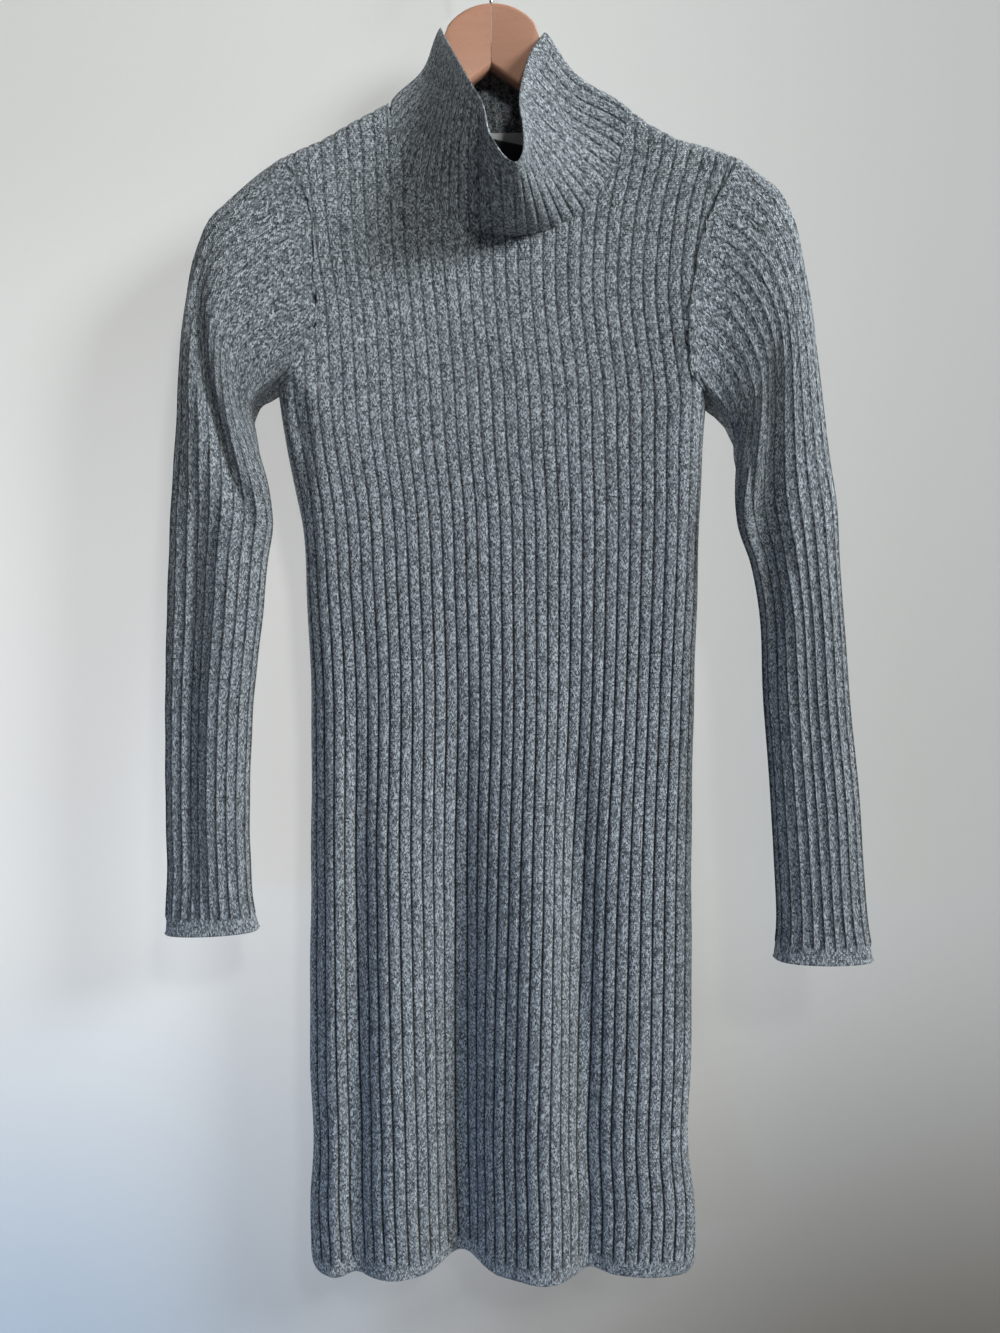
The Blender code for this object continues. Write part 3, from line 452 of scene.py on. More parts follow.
def layer_normal(layer, x, z):
    """Outward normals of a layer, from its slopes over half a millimetre."""
    half = 0.0005
    outwards = -1 if layer == "front" else 1
    slope_x = (layer_y(layer, x + half, z) - layer_y(layer, x - half, z)) / (2 * half)
    slope_z = (layer_y(layer, x, z + half) - layer_y(layer, x, z - half)) / (2 * half)
    normal = np.stack([-slope_x, np.ones_like(slope_x), -slope_z], axis=-1) * outwards
    return normal / np.linalg.norm(normal, axis=-1, keepdims=True)


def resample(line, count):
    """Points evenly spaced along a polyline given as rows."""
    lengths = np.r_[0.0, np.cumsum(np.linalg.norm(np.diff(line, axis=0), axis=1))]
    at = np.linspace(0, lengths[-1], count)
    return np.stack([np.interp(at, lengths, line[:, k]) for k in range(line.shape[1])], axis=1)


def armhole_line(side, steps=14):
    """Fine XZ polyline through an armhole's table, from the shoulder to the armpit."""
    table = ARMHOLES[side]
    order = np.arange(len(table["x"]))
    fine = np.linspace(0, order[-1], steps * len(order))
    return np.stack([smooth(fine, order, table[key]) for key in ("x", "z")], axis=1)


def neckline(layer, steps=400):
    """Neck edge in the XZ plane, left to right: a superellipse hung below the two neck points."""
    angle = np.linspace(0.0, math.pi, steps)
    across = 0.5 - 0.5 * np.sign(np.cos(angle)) * np.abs(np.cos(angle)) ** (2 / NECK_POWER)
    x = NECK_LEFT[0] + (NECK_RIGHT[0] - NECK_LEFT[0]) * across
    z = NECK_LEFT[1] + (NECK_RIGHT[1] - NECK_LEFT[1]) * across
    return np.stack([x, z - NECK_DROP[layer] * np.sin(angle) ** (2 / NECK_POWER)], axis=1)


def panel_edge(side, z):
    """X of a body panel's edge: the side seam below the armpit, the armhole above it."""
    hole = armhole_line(side)[::-1]
    seam = smooth(z, SIDES["z"], SIDES[side])
    return np.where(z < ARMPITS[side][1], seam, np.interp(z, hole[:, 1], hole[:, 0]))


def top_edge(layer, x):
    """Z of a body panel's top: the shoulder lines, and the neckline between them."""
    neck = neckline(layer)
    inside = (x > NECK_LEFT[0]) & (x < NECK_RIGHT[0])
    return np.where(inside, np.interp(x, neck[:, 0], neck[:, 1]), shoulder_z(x))


# ---------------------------------------------------------------- knit


def rib_columns(ribs):
    """Places across a panel, in ribs: a few for each rib, closest together at its groove."""
    return np.r_[(np.arange(ribs)[:, None] + np.array(RIB_STEPS)[None]).ravel(), ribs].astype(float)


def rib_height(rib, height, free_edge, seam):
    """Relief of the ribs: a low crown between narrow grooves, level in the plain band at a free edge, which
    rolls in at its very edge, and drawn in along a fine line at a seam. free_edge and seam are distances from
    them."""
    part = rib - np.floor(rib)
    groove = bell(np.minimum(part, 1 - part), GROOVE)
    crown = (1 - groove) * (1 - 0.16 * (2 * part - 1) ** 2)
    knit = eased((free_edge - PLAIN_BAND) / BAND_FADE)
    relief = crown * knit + 0.80 * (1 - knit)
    relief = relief * rounded(free_edge + 0.0002, EDGE_ROLL)
    near_seam = 0.35 + 0.65 * rounded(seam, SEAM_FADE)
    return height * ((relief - 0.85) * near_seam - SEAM_SINK * bell(seam, 0.4 * SEAM_FADE))


def painted_groove_shade(free_edge, depth):
    """How dark the painted shade in the grooves is: by the ribs' depth, and none in the plain band."""
    return depth * eased((free_edge - PLAIN_BAND) / BAND_FADE)


def uneven(a, b, seed):
    """Slow unevenness, about -1 to 1: a few sine waves of unlike lengths and directions."""
    draw = np.random.default_rng(seed)
    total = 0.0
    for size in UNEVEN_SIZES:
        turn, phase = draw.uniform(0, 2 * math.pi, 2)
        total = total + np.sin(2 * math.pi * (a * math.cos(turn) + b * math.sin(turn)) / size + phase)
    return total / 3


def cloth_from(name, points, maps, finish, thickness, inwards=True, closed=False):
    """Cloth from a grid of points on its outer face, rows by columns, with a pair of grids for each of its
    UV maps, thickened inwards. A closed grid's last column is its first again. Points that coincide are
    merged."""
    rows, columns = points.shape[:2]
    used = columns - 1 if closed else columns
    index = np.arange(rows * used).reshape(rows, used)
    if closed:
        index = np.hstack([index, index[:, :1]])
    grid = np.arange(rows * columns).reshape(rows, columns)

    def corners(of):
        quads = np.stack([of[:-1, :-1], of[:-1, 1:], of[1:, 1:], of[1:, :-1]], axis=-1).reshape(-1, 4)
        return quads if inwards else quads[:, ::-1]

    mesh = bpy.data.meshes.new(name)
    mesh.from_pydata(points[:, :used].reshape(-1, 3).tolist(), [], corners(index).tolist())
    at = corners(grid).ravel()
    for layer, pair in maps.items():
        values = np.stack([np.broadcast_to(part, (rows, columns)).ravel()[at] for part in pair], axis=1)
        mesh.uv_layers.new(name=layer).data.foreach_set("uv", values.astype(np.float32).ravel())
    mesh.uv_layers.active_index = 0
    tidy_mesh(mesh)
    cloth = add_piece(name, mesh, finish)
    thicken = cloth.modifiers.new("cloth", "SOLIDIFY")
    thicken.thickness = thickness
    thicken.offset = -1.0
    return cloth


def knitted(name, points, rib, run, groove, settings, inwards, closed=False):
    """Cloth of marled knit: its UV maps hold the rib number and the run along it, and how dark the painted
    shade in its grooves is."""
    maps = {"knit": (rib, run), "groove": (groove, groove)}
    return cloth_from(name, points, maps, marled_knit(settings), settings.cloth, inwards, closed)


def tidy_mesh(mesh, distance=2e-6):
    """Merges the points that coincide, and drops the faces that this closes."""
    made = bmesh.new()
    made.from_mesh(mesh)
    bmesh.ops.remove_doubles(made, verts=made.verts, dist=distance)
    bmesh.ops.dissolve_degenerate(made, dist=distance, edges=made.edges)
    made.to_mesh(mesh)
    made.free()


def add_piece(name, mesh, finish):
    """A piece of the object: smooth, at the origin, riding on the one body."""
    mesh.materials.append(finish)
    mesh.shade_smooth()
    made = bpy.data.objects.new(name, mesh)
    bpy.context.scene.collection.objects.link(made)
    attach(made, "root")
    return made


def surface_area(points):
    """Area of a grid's surface, as the sum of its cells."""
    across = np.diff(points, axis=1)[:-1]
    down = np.diff(points, axis=0)[:, :-1]
    return float(np.linalg.norm(np.cross(across, down), axis=-1).sum())


# ---------------------------------------------------------------- cloth pieces


def panel_grid(layer, ribs):
    """X, Z and rib number of a body panel's points. Each column keeps to one rib line, evenly spaced along
    the cloth, and ends where that line meets the neck, the shoulder or the armhole."""
    rib = rib_columns(ribs)
    for (x, z), inwards in ((NECK_LEFT, 1), (NECK_RIGHT, -1)):
        low, high = (float(smooth(z, RIB_SPREAD["z"], RIB_SPREAD[side])) for side in ("left", "right"))
        rib = np.r_[rib, ribs * (x - low) / (high - low) + inwards * np.array(NECK_POINT_STEPS)]
    rib = np.unique(rib)
    share = rib / ribs

    # Below the armholes: level rows, columns evenly spaced along the cloth
    rows = int((SPLIT_Z - HEM_Z - EDGE_STEPS[-1]) / ROW_STEP)
    z = np.r_[HEM_Z + np.array(EDGE_STEPS[:-1]), np.linspace(HEM_Z + EDGE_STEPS[-1], SPLIT_Z, rows)]
    left, right = panel_edge("left", z), panel_edge("right", z)
    fine = 0.5 - 0.5 * np.cos(np.linspace(0, math.pi, 260))
    fine_x = left[:, None] + (right - left)[:, None] * fine[None]
    fine_y = layer_y(layer, fine_x, z[:, None], creased=False)
    step = np.hypot(np.diff(fine_x, axis=1), np.diff(fine_y, axis=1))
    length = np.hstack([np.zeros((len(z), 1)), np.cumsum(step, axis=1)])
    low_x = np.array([np.interp(share * s[-1], s, x) for s, x in zip(length, fine_x)])
    low_z = np.broadcast_to(z[:, None], low_x.shape)

    # Above: the rib lines spread, and each runs to the panel's top
    start = (low_x[-1] - left[-1]) / (right[-1] - left[-1])

    def line_x(height):
        blend = eased((height - SPLIT_Z) / SPREAD_BLEND)
        across = start * (1 - blend) + share * blend
        low, high = (smooth(height, RIB_SPREAD["z"], RIB_SPREAD[side]) for side in ("left", "right"))
        return low + (high - low) * across

    def line_rib(x, height):
        blend = eased((height - SPLIT_Z) / SPREAD_BLEND)
        low, high = (smooth(height, RIB_SPREAD["z"], RIB_SPREAD[side]) for side in ("left", "right"))
        across = (x - low) / (high - low)
        return ribs * (np.interp(across, start, share) * (1 - blend) + across * blend)

    def held(x, height):
        return np.clip(x, panel_edge("left", height), panel_edge("right", height))

    climb = np.linspace(SPLIT_Z, max(NECK_LEFT[1], NECK_RIGHT[1]) + 0.002, 500)[:, None]
    over = climb - top_edge(layer, held(line_x(climb), climb))
    first = np.clip(np.argmax(over >= 0, axis=0), 1, None)
    pick = np.arange(len(rib))
    after, before = over[first, pick], over[first - 1, pick]
    top = climb[first - 1, 0] + (climb[first, 0] - climb[first - 1, 0]) * (-before / (after - before))
    from_top = np.array(SEAM_STEPS)[:, None]
    even = np.linspace(0, 1, 38)[1:, None]
    high_z = np.vstack([SPLIT_Z + (top - SEAM_STEPS[-1] - SPLIT_Z) * even, top - from_top[::-1][1:]])
    free_x = line_x(high_z)
    high_x = held(free_x, high_z)
    cut = np.abs(high_x - free_x) > 1e-7
    high_rib = np.where(cut, line_rib(high_x, high_z), rib[None])
    low_rib = np.broadcast_to(rib[None], low_x.shape)
    return np.vstack([low_x, high_x]), np.vstack([low_z, high_z]), np.vstack([low_rib, high_rib])


def body_panel(layer, settings):
    """Front or back panel. A point is the layer's face at its X and Z, moved along the face's normal by the
    relief."""
    x, z, rib = panel_grid(layer, settings.body_ribs)
    free_edge = z - HEM_Z
    to_hole = np.minimum(x - panel_edge("left", z), panel_edge("right", z) - x)
    armhole = np.where(z > np.where(x < 0, ARMPITS["left"][1], ARMPITS["right"][1]), to_hole, 1.0)
    seam = np.minimum(armhole, top_edge(layer, x) - z)

    # Round slit corners: the last rows draw in at both ends
    inset = SLIT_CORNER * (1 - rounded(z - HEM_Z, SLIT_CORNER))
    centre = (SIDES["left"][-1] + SIDES["right"][-1]) / 2
    share = (x - centre) / (SIDES["right"][-1] - centre)
    x = x - inset * np.sign(share) * np.abs(share) ** 8
    # A trough pulls the hem up a little
    trough = np.clip(-fold_height(layer, x, HEM_Z), 0, None)
    z = z + HEM_LIFT * trough * np.clip(1 - (z - HEM_Z) / HEM_LIFT_REACH, 0, 1)

    seed = 3 if layer == "front" else 4
    face = np.stack([x, layer_y(layer, x, z), z], axis=-1)
    depth = BODY_RELIEF + BODY_RELIEF_GAIN * eased((CHEST_Z - z) / RELIEF_REACH)
    relief = rib_height(rib, depth * settings.rib_height, free_edge, np.clip(seam, 0, None))
    relief = relief + UNEVEN * uneven(x, z, seed)
    points = face + layer_normal(layer, x, z) * relief[..., None]
    # Each rib's run is measured up from the hem along the cloth, so that stitches keep their size
    steps = np.linalg.norm(np.diff(face, axis=0), axis=-1)
    run = np.vstack([np.zeros(face.shape[1]), np.cumsum(steps, axis=0)])
    groove = painted_groove_shade(free_edge, depth)
    cloth = knitted(layer + "_panel", points, rib, run, groove, settings, inwards=layer == "front")
    for length in ("", "_skirt", "_hem"):
        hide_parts(layer + length)
    return cloth, surface_area(face)


def grid_normals(points):
    """Normals of a closed grid whose last column is its first again: its two slopes crossed."""
    across = np.gradient(np.hstack([points[:, -2:-1], points, points[:, 1:2]]), axis=1)[:, 1:-1]
    down = np.gradient(points, axis=0)
    normal = np.cross(across, down)
    return normal / np.linalg.norm(normal, axis=-1, keepdims=True)


def armhole_ring(side, half_count):
    """Closed ring of the armhole's points, front from the shoulder to the armpit, then up the back, and the
    directions that lead off the body from it."""
    line = resample(armhole_line(side), half_count + 1)
    tangent = np.gradient(line, axis=0)
    tangent /= np.linalg.norm(tangent, axis=1)[:, None]
    square = np.stack([tangent[:, 1], -tangent[:, 0]], axis=1)
    square *= np.sign(square[half_count // 2, 0]) * (-1 if side == "left" else 1)
    edges, leads = [], []
    for layer in ("front", "back"):
        edge = np.stack([line[:, 0], layer_y(layer, line[:, 0], line[:, 1]), line[:, 1]], axis=1)
        inside = line - square * SEAM_STRIP
        inner = np.stack([inside[:, 0], layer_y(layer, inside[:, 0], inside[:, 1]), inside[:, 1]], axis=1)
        lead = edge - inner
        lead[[0, -1], 1] = 0.0
        lead[:, 1] *= np.sin(np.linspace(0, math.pi, half_count + 1)) ** 0.5
        edges.append(edge)
        leads.append(lead / np.linalg.norm(lead, axis=1)[:, None])
    ring = np.concatenate([edges[0], edges[1][-2::-1]])
    lead = np.concatenate([leads[0], leads[1][-2::-1]])
    return ring, lead


def sleeve_surface(side, rings, half_count):
    """Rings of the sleeve at these ring numbers, from -1 at the armhole to the last row of its table. Each is
    an oval between its outer and inner ends, which takes on the armhole's shape near it."""
    ring, lead = armhole_ring(side, half_count)
    first = ring + lead * SEAM_STRIP
    top, bottom = first[0], first[half_count]
    length = np.linalg.norm(bottom - top)
    along = (bottom - top) / length
    hole_share = (first - top) @ along / length
    hole_offset = first - top - hole_share[:, None] * (bottom - top)

    turn = np.linspace(0, 2 * math.pi, 2 * half_count + 1)
    oval_share = 0.5 - 0.5 * np.cos(turn)
    depth = np.abs(np.sin(turn)) ** SLEEVE_ROUND
    behind = turn > math.pi
    table = np.array(SLEEVES[side]).T
    named = dict(zip(SLEEVE_COLUMNS, table))
    knots = np.arange(-1, len(SLEEVES[side]))
    ends = {"outer_x": top[0], "outer_z": top[2], "inner_x": bottom[0], "inner_z": bottom[2]}
    at = {key: smooth(rings, knots, np.r_[ends.get(key, column[0]), column]) for key, column in named.items()}
    hung = SLEEVE_MIDDLE_Y[side]
    outer_y = top[1] + (hung - top[1]) * eased((rings + 1) / CAP_RINGS)
    inner_y = bottom[1] + (hung - bottom[1]) * eased(rings / ARMPIT_EASE_RINGS)
    outer = np.stack([at["outer_x"], outer_y, at["outer_z"]], axis=1)[:, None]
    inner = np.stack([at["inner_x"], inner_y, at["inner_z"]], axis=1)[:, None]

    front = at["front"][:, None] * depth
    back = at["back"][:, None] * depth
    dent = at["crease"][:, None] * bell(oval_share[None] - at["crease_at"][:, None], SLEEVE_CREASE_WIDTH)
    for row in SLEEVE_CREASES:
        crease = dict(zip(SLEEVE_CREASE_COLUMNS, row))
        if crease["side"] != side:
            continue
        on = np.clip((rings - crease["ring_from"]) / (crease["ring_to"] - crease["ring_from"]), 0, 1)
        centre = crease["at_from"] + (crease["at_to"] - crease["at_from"]) * on
        fade = np.sin(math.pi * on) ** 0.7
        across = bell(oval_share[None] - centre[:, None], crease["width"])
        dent = dent + (crease["depth"] * fade)[:, None] * across
    y = np.where(behind, back - BACK_CREASE_SHARE * dent, -np.maximum(front - dent, 0.25 * front))
    blend = np.clip((rings + 1) / (CAP_RINGS + 1), 0, 1)[:, None]
    share = hole_share + (oval_share - hole_share) * blend
    points = outer + share[..., None] * (inner - outer) + hole_offset * (1 - blend)[..., None]
    points[..., 1] += y * blend
    near = ring[None] + lead[None] * np.array(CLOSE_ROWS)[:, None, None]
    return np.concatenate([near, points])


def along_ribs(points, half_count, ribs_half, crowd):
    """The same rings with a point on each rib line, evenly spaced along the cloth but crowded up to the outer
    end by a ring's own power, and each point's rib number. Each half ring has its own number of ribs: those
    past it end at the underarm seam, and their points stay on it."""
    rib = rib_columns(int(ribs_half.max()))
    outer_first, ribs = [], []
    for part in (points[:, : half_count + 1], points[:, : half_count - 1 : -1]):
        step = np.linalg.norm(np.diff(part[..., :3], axis=1), axis=-1)
        length = np.hstack([np.zeros((len(part), 1)), np.cumsum(step, axis=1)])
        rows = []
        for s, row, count, power in zip(length, part, ribs_half, crowd):
            at = np.clip(rib / count, 0, 1) ** power
            rows.append(np.stack([np.interp(at * s[-1], s, values) for values in row.T], axis=1))
        outer_first.append(np.array(rows))
        ribs.append(np.minimum(rib[None], ribs_half[:, None]))
    face = np.concatenate([outer_first[0], outer_first[1][:, -2::-1]], axis=1)
    return face, np.concatenate([ribs[0], 2 * rib[-1] - ribs[1][:, -2::-1]], axis=1)


def sleeve(side, settings):
    """One sleeve: its rings from the armhole to the cuff, with ribs that run along it."""
    last = len(SLEEVES[side]) - 1
    probe = sleeve_surface(side, np.linspace(-1, last, 200), HALF_RING)[len(CLOSE_ROWS) :].mean(axis=1)
    run = np.r_[0.0, np.cumsum(np.linalg.norm(np.diff(probe, axis=0), axis=1))]
    to_edge = run[-1] - np.array(EDGE_STEPS[::-1])
    even = np.linspace(0, to_edge[0], int(to_edge[0] / SLEEVE_ROW_STEP))
    at = np.r_[even, to_edge[1:]]
    rings = np.interp(at, run, np.linspace(-1, last, 200))
    over_cap = 1 - eased((np.r_[[-1] * len(CLOSE_ROWS), rings] + 1) / CAP_CROWD_RINGS)
    ribs_half = settings.sleeve_ribs / 2 + CAP_RIBS * over_cap
    surface = sleeve_surface(side, rings, HALF_RING)
    surface = np.concatenate([surface, grid_normals(surface)], axis=-1)
    found, rib = along_ribs(surface, HALF_RING, ribs_half, 1 + CAP_CROWD * over_cap)
    face, normals = found[..., :3], found[..., 3:]
    normals = normals / np.linalg.norm(normals, axis=-1, keepdims=True) * (1 if side == "left" else -1)
    from_seam = np.r_[CLOSE_ROWS, at + SEAM_STRIP][:, None]
    free_edge = np.maximum(from_seam[-1] - from_seam, 0.0)
    seed = 5 if side == "left" else 6
    depth = SLEEVE_RELIEF + SLEEVE_RELIEF_GAIN * eased(from_seam / RELIEF_REACH)
    relief = rib_height(rib, depth * settings.rib_height, free_edge, from_seam - SEAM_GAP)
    relief = relief + SLEEVE_UNEVEN * uneven(face[..., 0] + face[..., 1], face[..., 2], seed)
    points = face + normals * relief[..., None]
    groove = painted_groove_shade(free_edge, depth)
    inwards = side == "right"
    numbers = rib + SLEEVE_KNIT
    cloth = knitted(side + "_sleeve", points, numbers, -from_seam, groove, settings, inwards, closed=True)
    for length in ("", "_lower", "_cuff"):
        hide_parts("sleeve_" + side + length)
    return cloth, surface_area(face)


def collar(settings):
    """Collar: straight from the neckline to its top edge, bowed out at the front and in at the sides."""
    seams, tops, ribs = [], [], []
    done = 0
    for layer, count in (("front", settings.collar_ribs_front), ("back", settings.collar_ribs_back)):
        rib = rib_columns(count)
        line = neckline(layer)
        lengths = np.r_[0.0, np.cumsum(np.linalg.norm(np.diff(line, axis=0), axis=1))]
        at = rib / count * lengths[-1]
        x, z = (np.interp(at, lengths, line[:, k]) for k in (0, 1))
        seam = np.stack([x, layer_y(layer, x, z), z], axis=1)
        reach = rib / count
        if layer == "front":
            reach = smooth(reach, COLLAR_LEAN["seam"], COLLAR_LEAN["top"])
        edge = COLLAR_TOP[layer]
        top = np.stack([smooth(reach, edge["share"], edge[key]) for key in "xyz"], axis=1)
        if layer == "back":
            seam, top, rib = seam[::-1][1:], top[::-1][1:], rib[1:]
        seams.append(seam)
        tops.append(top)
        ribs.append(rib + done)
        done += count
    seam, top, rib = np.concatenate(seams), np.concatenate(tops), np.concatenate(ribs)
    seam[-1] = seam[0]
    rise = top - seam
    length = np.linalg.norm(rise, axis=1)[:, None]
    rise /= length
    seam = seam - rise * COLLAR_LAP
    centre = (seam.mean(axis=0) + top.mean(axis=0)) / 2
    away = (seam + top) / 2 - centre
    away -= np.sum(away * rise, axis=1)[:, None] * rise
    away /= np.linalg.norm(away, axis=1)[:, None]
    from_middle = (2 * seam[:, 0] - NECK_LEFT[0] - NECK_RIGHT[0]) / (NECK_RIGHT[0] - NECK_LEFT[0])
    at_sides = np.clip(np.abs(from_middle), 0, 1) ** 4
    in_front = np.arange(len(seam)) <= len(seams[0])
    at_front = np.where(in_front, 1 - at_sides, 0)

    mean = float(length.mean())
    inside = np.linspace(SEAM_STEPS[-2], mean - EDGE_STEPS[-1], 22)
    from_seam = np.r_[SEAM_STEPS[:-2], inside, mean - np.array(EDGE_STEPS[-2::-1])]
    share = (from_seam / mean)[:, None, None]
    arch = np.sin(math.pi * share)
    bulge = COLLAR_BULGE * at_front[None, :, None] * arch
    bulge = bulge - COLLAR_HOLLOW * at_sides[None, :, None] * arch**2
    face = seam[None] * (1 - share) + top[None] * share + bulge * away[None]
    outwards = grid_normals(face)
    outwards *= np.sign(np.sum(outwards * away[None], axis=-1).mean())
    free_edge = mean - from_seam[:, None]
    relief = rib_height(rib[None], COLLAR_RELIEF * settings.rib_height, free_edge, from_seam[:, None])
    relief = relief + UNEVEN * uneven(face[..., 0], face[..., 2], 7)
    points = face + outwards * relief[..., None]
    numbers = rib[None] + COLLAR_KNIT
    run = from_seam[:, None] + COLLAR_RUN
    groove = painted_groove_shade(free_edge, COLLAR_PAINTED_SHADE)
    cloth = knitted("funnel_collar", points, numbers, run, groove, settings, inwards=True, closed=True)
    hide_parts("collar")
    return cloth, surface_area(face), float(np.linalg.norm(np.diff(seam, axis=0), axis=1).sum())


def label(key, name, node, finish, slot):
    """A woven tape on the inside of the back layer, moved in by the wall and its clearance, with a slow wave
    that grows downwards."""
    sizes = dict(zip(LABEL_COLUMNS, LABELS[key]))
    across = np.linspace(0, 1, 41)
    down = np.linspace(0, 1, 13)
    x = sizes["left"] + (sizes["right"] - sizes["left"]) * across[None, :]
    z = sizes["top"] + (sizes["bottom"] - sizes["top"]) * down[:, None] - sizes["drop"] * across[None, :]
    x, z = np.broadcast_arrays(x, z)
    wave = LABEL_WAVE * np.sin(across * 7.0 + 0.6)[None, :] * down[:, None]
    y = layer_y("back", x, z, creased=False) - WALL - sizes["clear"] - wave
    points = np.stack([x, y, z], axis=-1)
    piece = cloth_from(name, points, {"weave": (x, z)}, finish, LABEL_THICK)
    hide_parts(node)
    return piece


# ---------------------------------------------------------------- hanger


def wood_section(top, bottom, half, steps=9):
    """Y and Z of an upright rounded rectangle, as whole arrays: one row for each section."""
    radius = np.minimum(np.minimum(WOOD_ROUND, half * 0.85), (top - bottom) * 0.45)
    angle = np.linspace(0, math.pi / 2, steps)
    ys, zs = [], []
    for quarter, (side, high) in enumerate(((1, 1), (-1, 1), (-1, 0), (1, 0))):
        turn = angle + quarter * math.pi / 2
        centre_y = side * (half - radius)
        centre_z = np.where(high, top - radius, bottom + radius)
        ys.append(centre_y[:, None] + radius[:, None] * np.cos(turn)[None])
        zs.append(centre_z[:, None] + radius[:, None] * np.sin(turn)[None])
    return np.hstack(ys), np.hstack(zs)


def tube_mesh(name, points, flip):
    """Closed solid from rings of points, with a fan at each end."""
    rows, columns = points.shape[:2]
    index = np.arange(rows * columns).reshape(rows, columns)
    following = np.roll(index, -1, axis=1)
    quads = np.stack([index[:-1], following[:-1], following[1:], index[1:]], axis=-1).reshape(-1, 4)
    ends = np.array([points[0].mean(axis=0), points[-1].mean(axis=0)])
    first, last = rows * columns, rows * columns + 1
    fans = [
        np.stack([np.full(columns, first), following[0], index[0]], axis=-1),
        np.stack([np.full(columns, last), index[-1], following[-1]], axis=-1),
    ]
    faces = quads[:, ::flip].tolist() + np.concatenate(fans)[:, ::flip].tolist()
    mesh = bpy.data.meshes.new(name)
    mesh.from_pydata(np.vstack([points.reshape(-1, 3), ends]).tolist(), [], faces)
    return mesh


def wooden_arm(side, settings):
    """One half of the hanger: rounded sections carried from the mitre to the tip along the forward sweep."""
    outwards = -1 if side == "left" else 1
    hump = MITRE_GAP / 2 + (HANGER["x"][0] - MITRE_GAP / 2) * np.linspace(0, 1, 26)[:-1]
    arm = np.linspace(HANGER["x"][0], HANGER["x"][-1], 90)
    x = np.r_[hump, arm]
    top = np.r_[HUMP_CENTRE_Z + np.sqrt(HUMP_RADIUS**2 - hump**2), smooth(arm, HANGER["x"], HANGER["top"])]
    bottom = np.r_[NOTCH_Z - NOTCH_SLOPE * hump, smooth(arm, HANGER["x"], HANGER["bottom"])]
    half = np.r_[np.full(len(hump), HANGER["half"][0]), smooth(arm, HANGER["x"], HANGER["half"])]
    y, z = wood_section(top, bottom, half)
    across = np.broadcast_to(outwards * x[:, None], y.shape)
    points = np.stack([across, y + on_hanger(across), z], axis=-1)
    mesh = tube_mesh(side + "_wooden_arm", points, outwards)
    piece = add_piece(side + "_wooden_arm", mesh, beech(side, settings))
    mesh.set_sharp_from_angle(angle=math.radians(35))
    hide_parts("hanger_arm_" + side)
    return piece


def wire_hook(settings):
    """Bent wire: a circle carried along its route, from the wood up and round over the bearing point."""
    centre_z = WIRE_RADIUS - HOOK_RADIUS
    wood_top = HUMP_CENTRE_Z + HUMP_RADIUS + MITRE_GAP
    lead_in = math.radians(-60)
    start = np.array([HOOK_RADIUS * math.cos(lead_in), centre_z + HOOK_RADIUS * math.sin(lead_in)])
    stem = np.stack([np.zeros(4), wood_top + np.array([0.0, 0.003, 0.006, 0.010])], axis=1)
    share = np.linspace(0, 1, 12)[1:-1]
    bend_x = start[0] * eased(share) + 0.0012 * np.sin(math.pi * share)
    bend = np.stack([bend_x, stem[-1, 1] + (start[1] - stem[-1, 1]) * share], axis=1)
    angle = np.linspace(lead_in, math.radians(205), 70)
    arc = np.stack([HOOK_RADIUS * np.cos(angle), centre_z + HOOK_RADIUS * np.sin(angle)], axis=1)
    route = np.vstack([stem, bend, arc])
    along = np.gradient(route, axis=0)
    along /= np.linalg.norm(along, axis=1)[:, None]
    turn = np.linspace(0, 2 * math.pi, 16, endpoint=False)
    side = np.stack([-along[:, 1], along[:, 0]], axis=1)
    ring_x = route[:, :1] + WIRE_RADIUS * np.cos(turn) * side[:, :1]
    ring_z = route[:, 1:] + WIRE_RADIUS * np.cos(turn) * side[:, 1:]
    ring_y = np.broadcast_to(WIRE_RADIUS * np.sin(turn), ring_x.shape)
    mesh = tube_mesh("wire_hook", np.stack([ring_x, ring_y, ring_z], axis=-1), 1)
    piece = add_piece("wire_hook", mesh, plated_wire(settings))
    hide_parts("hanger_hook")
    return piece


# ---------------------------------------------------------------- finishes


class Value:
    """A shader socket that takes part in arithmetic: each operation adds its Math node."""

    def __init__(self, shader, socket):
        self.shader = shader
        self.socket = socket

    def math(self, operation, *others):
        """One Math node, on this value and the others."""
        return self.shader.node("ShaderNodeMath", {"operation": operation}, dict(enumerate((self, *others))))

    def __add__(self, other):
        return self.math("ADD", other)

    def __sub__(self, other):
        return self.math("SUBTRACT", other)

    def __mul__(self, other):
        return self.math("MULTIPLY", other)

    def __truediv__(self, other):
        return self.math("DIVIDE", other)

    def __rsub__(self, other):
        return self.shader.node("ShaderNodeMath", {"operation": "SUBTRACT"}, {0: other, 1: self})

    def __pow__(self, other):
        return self.math("POWER", other)

    __radd__ = __add__
    __rmul__ = __mul__


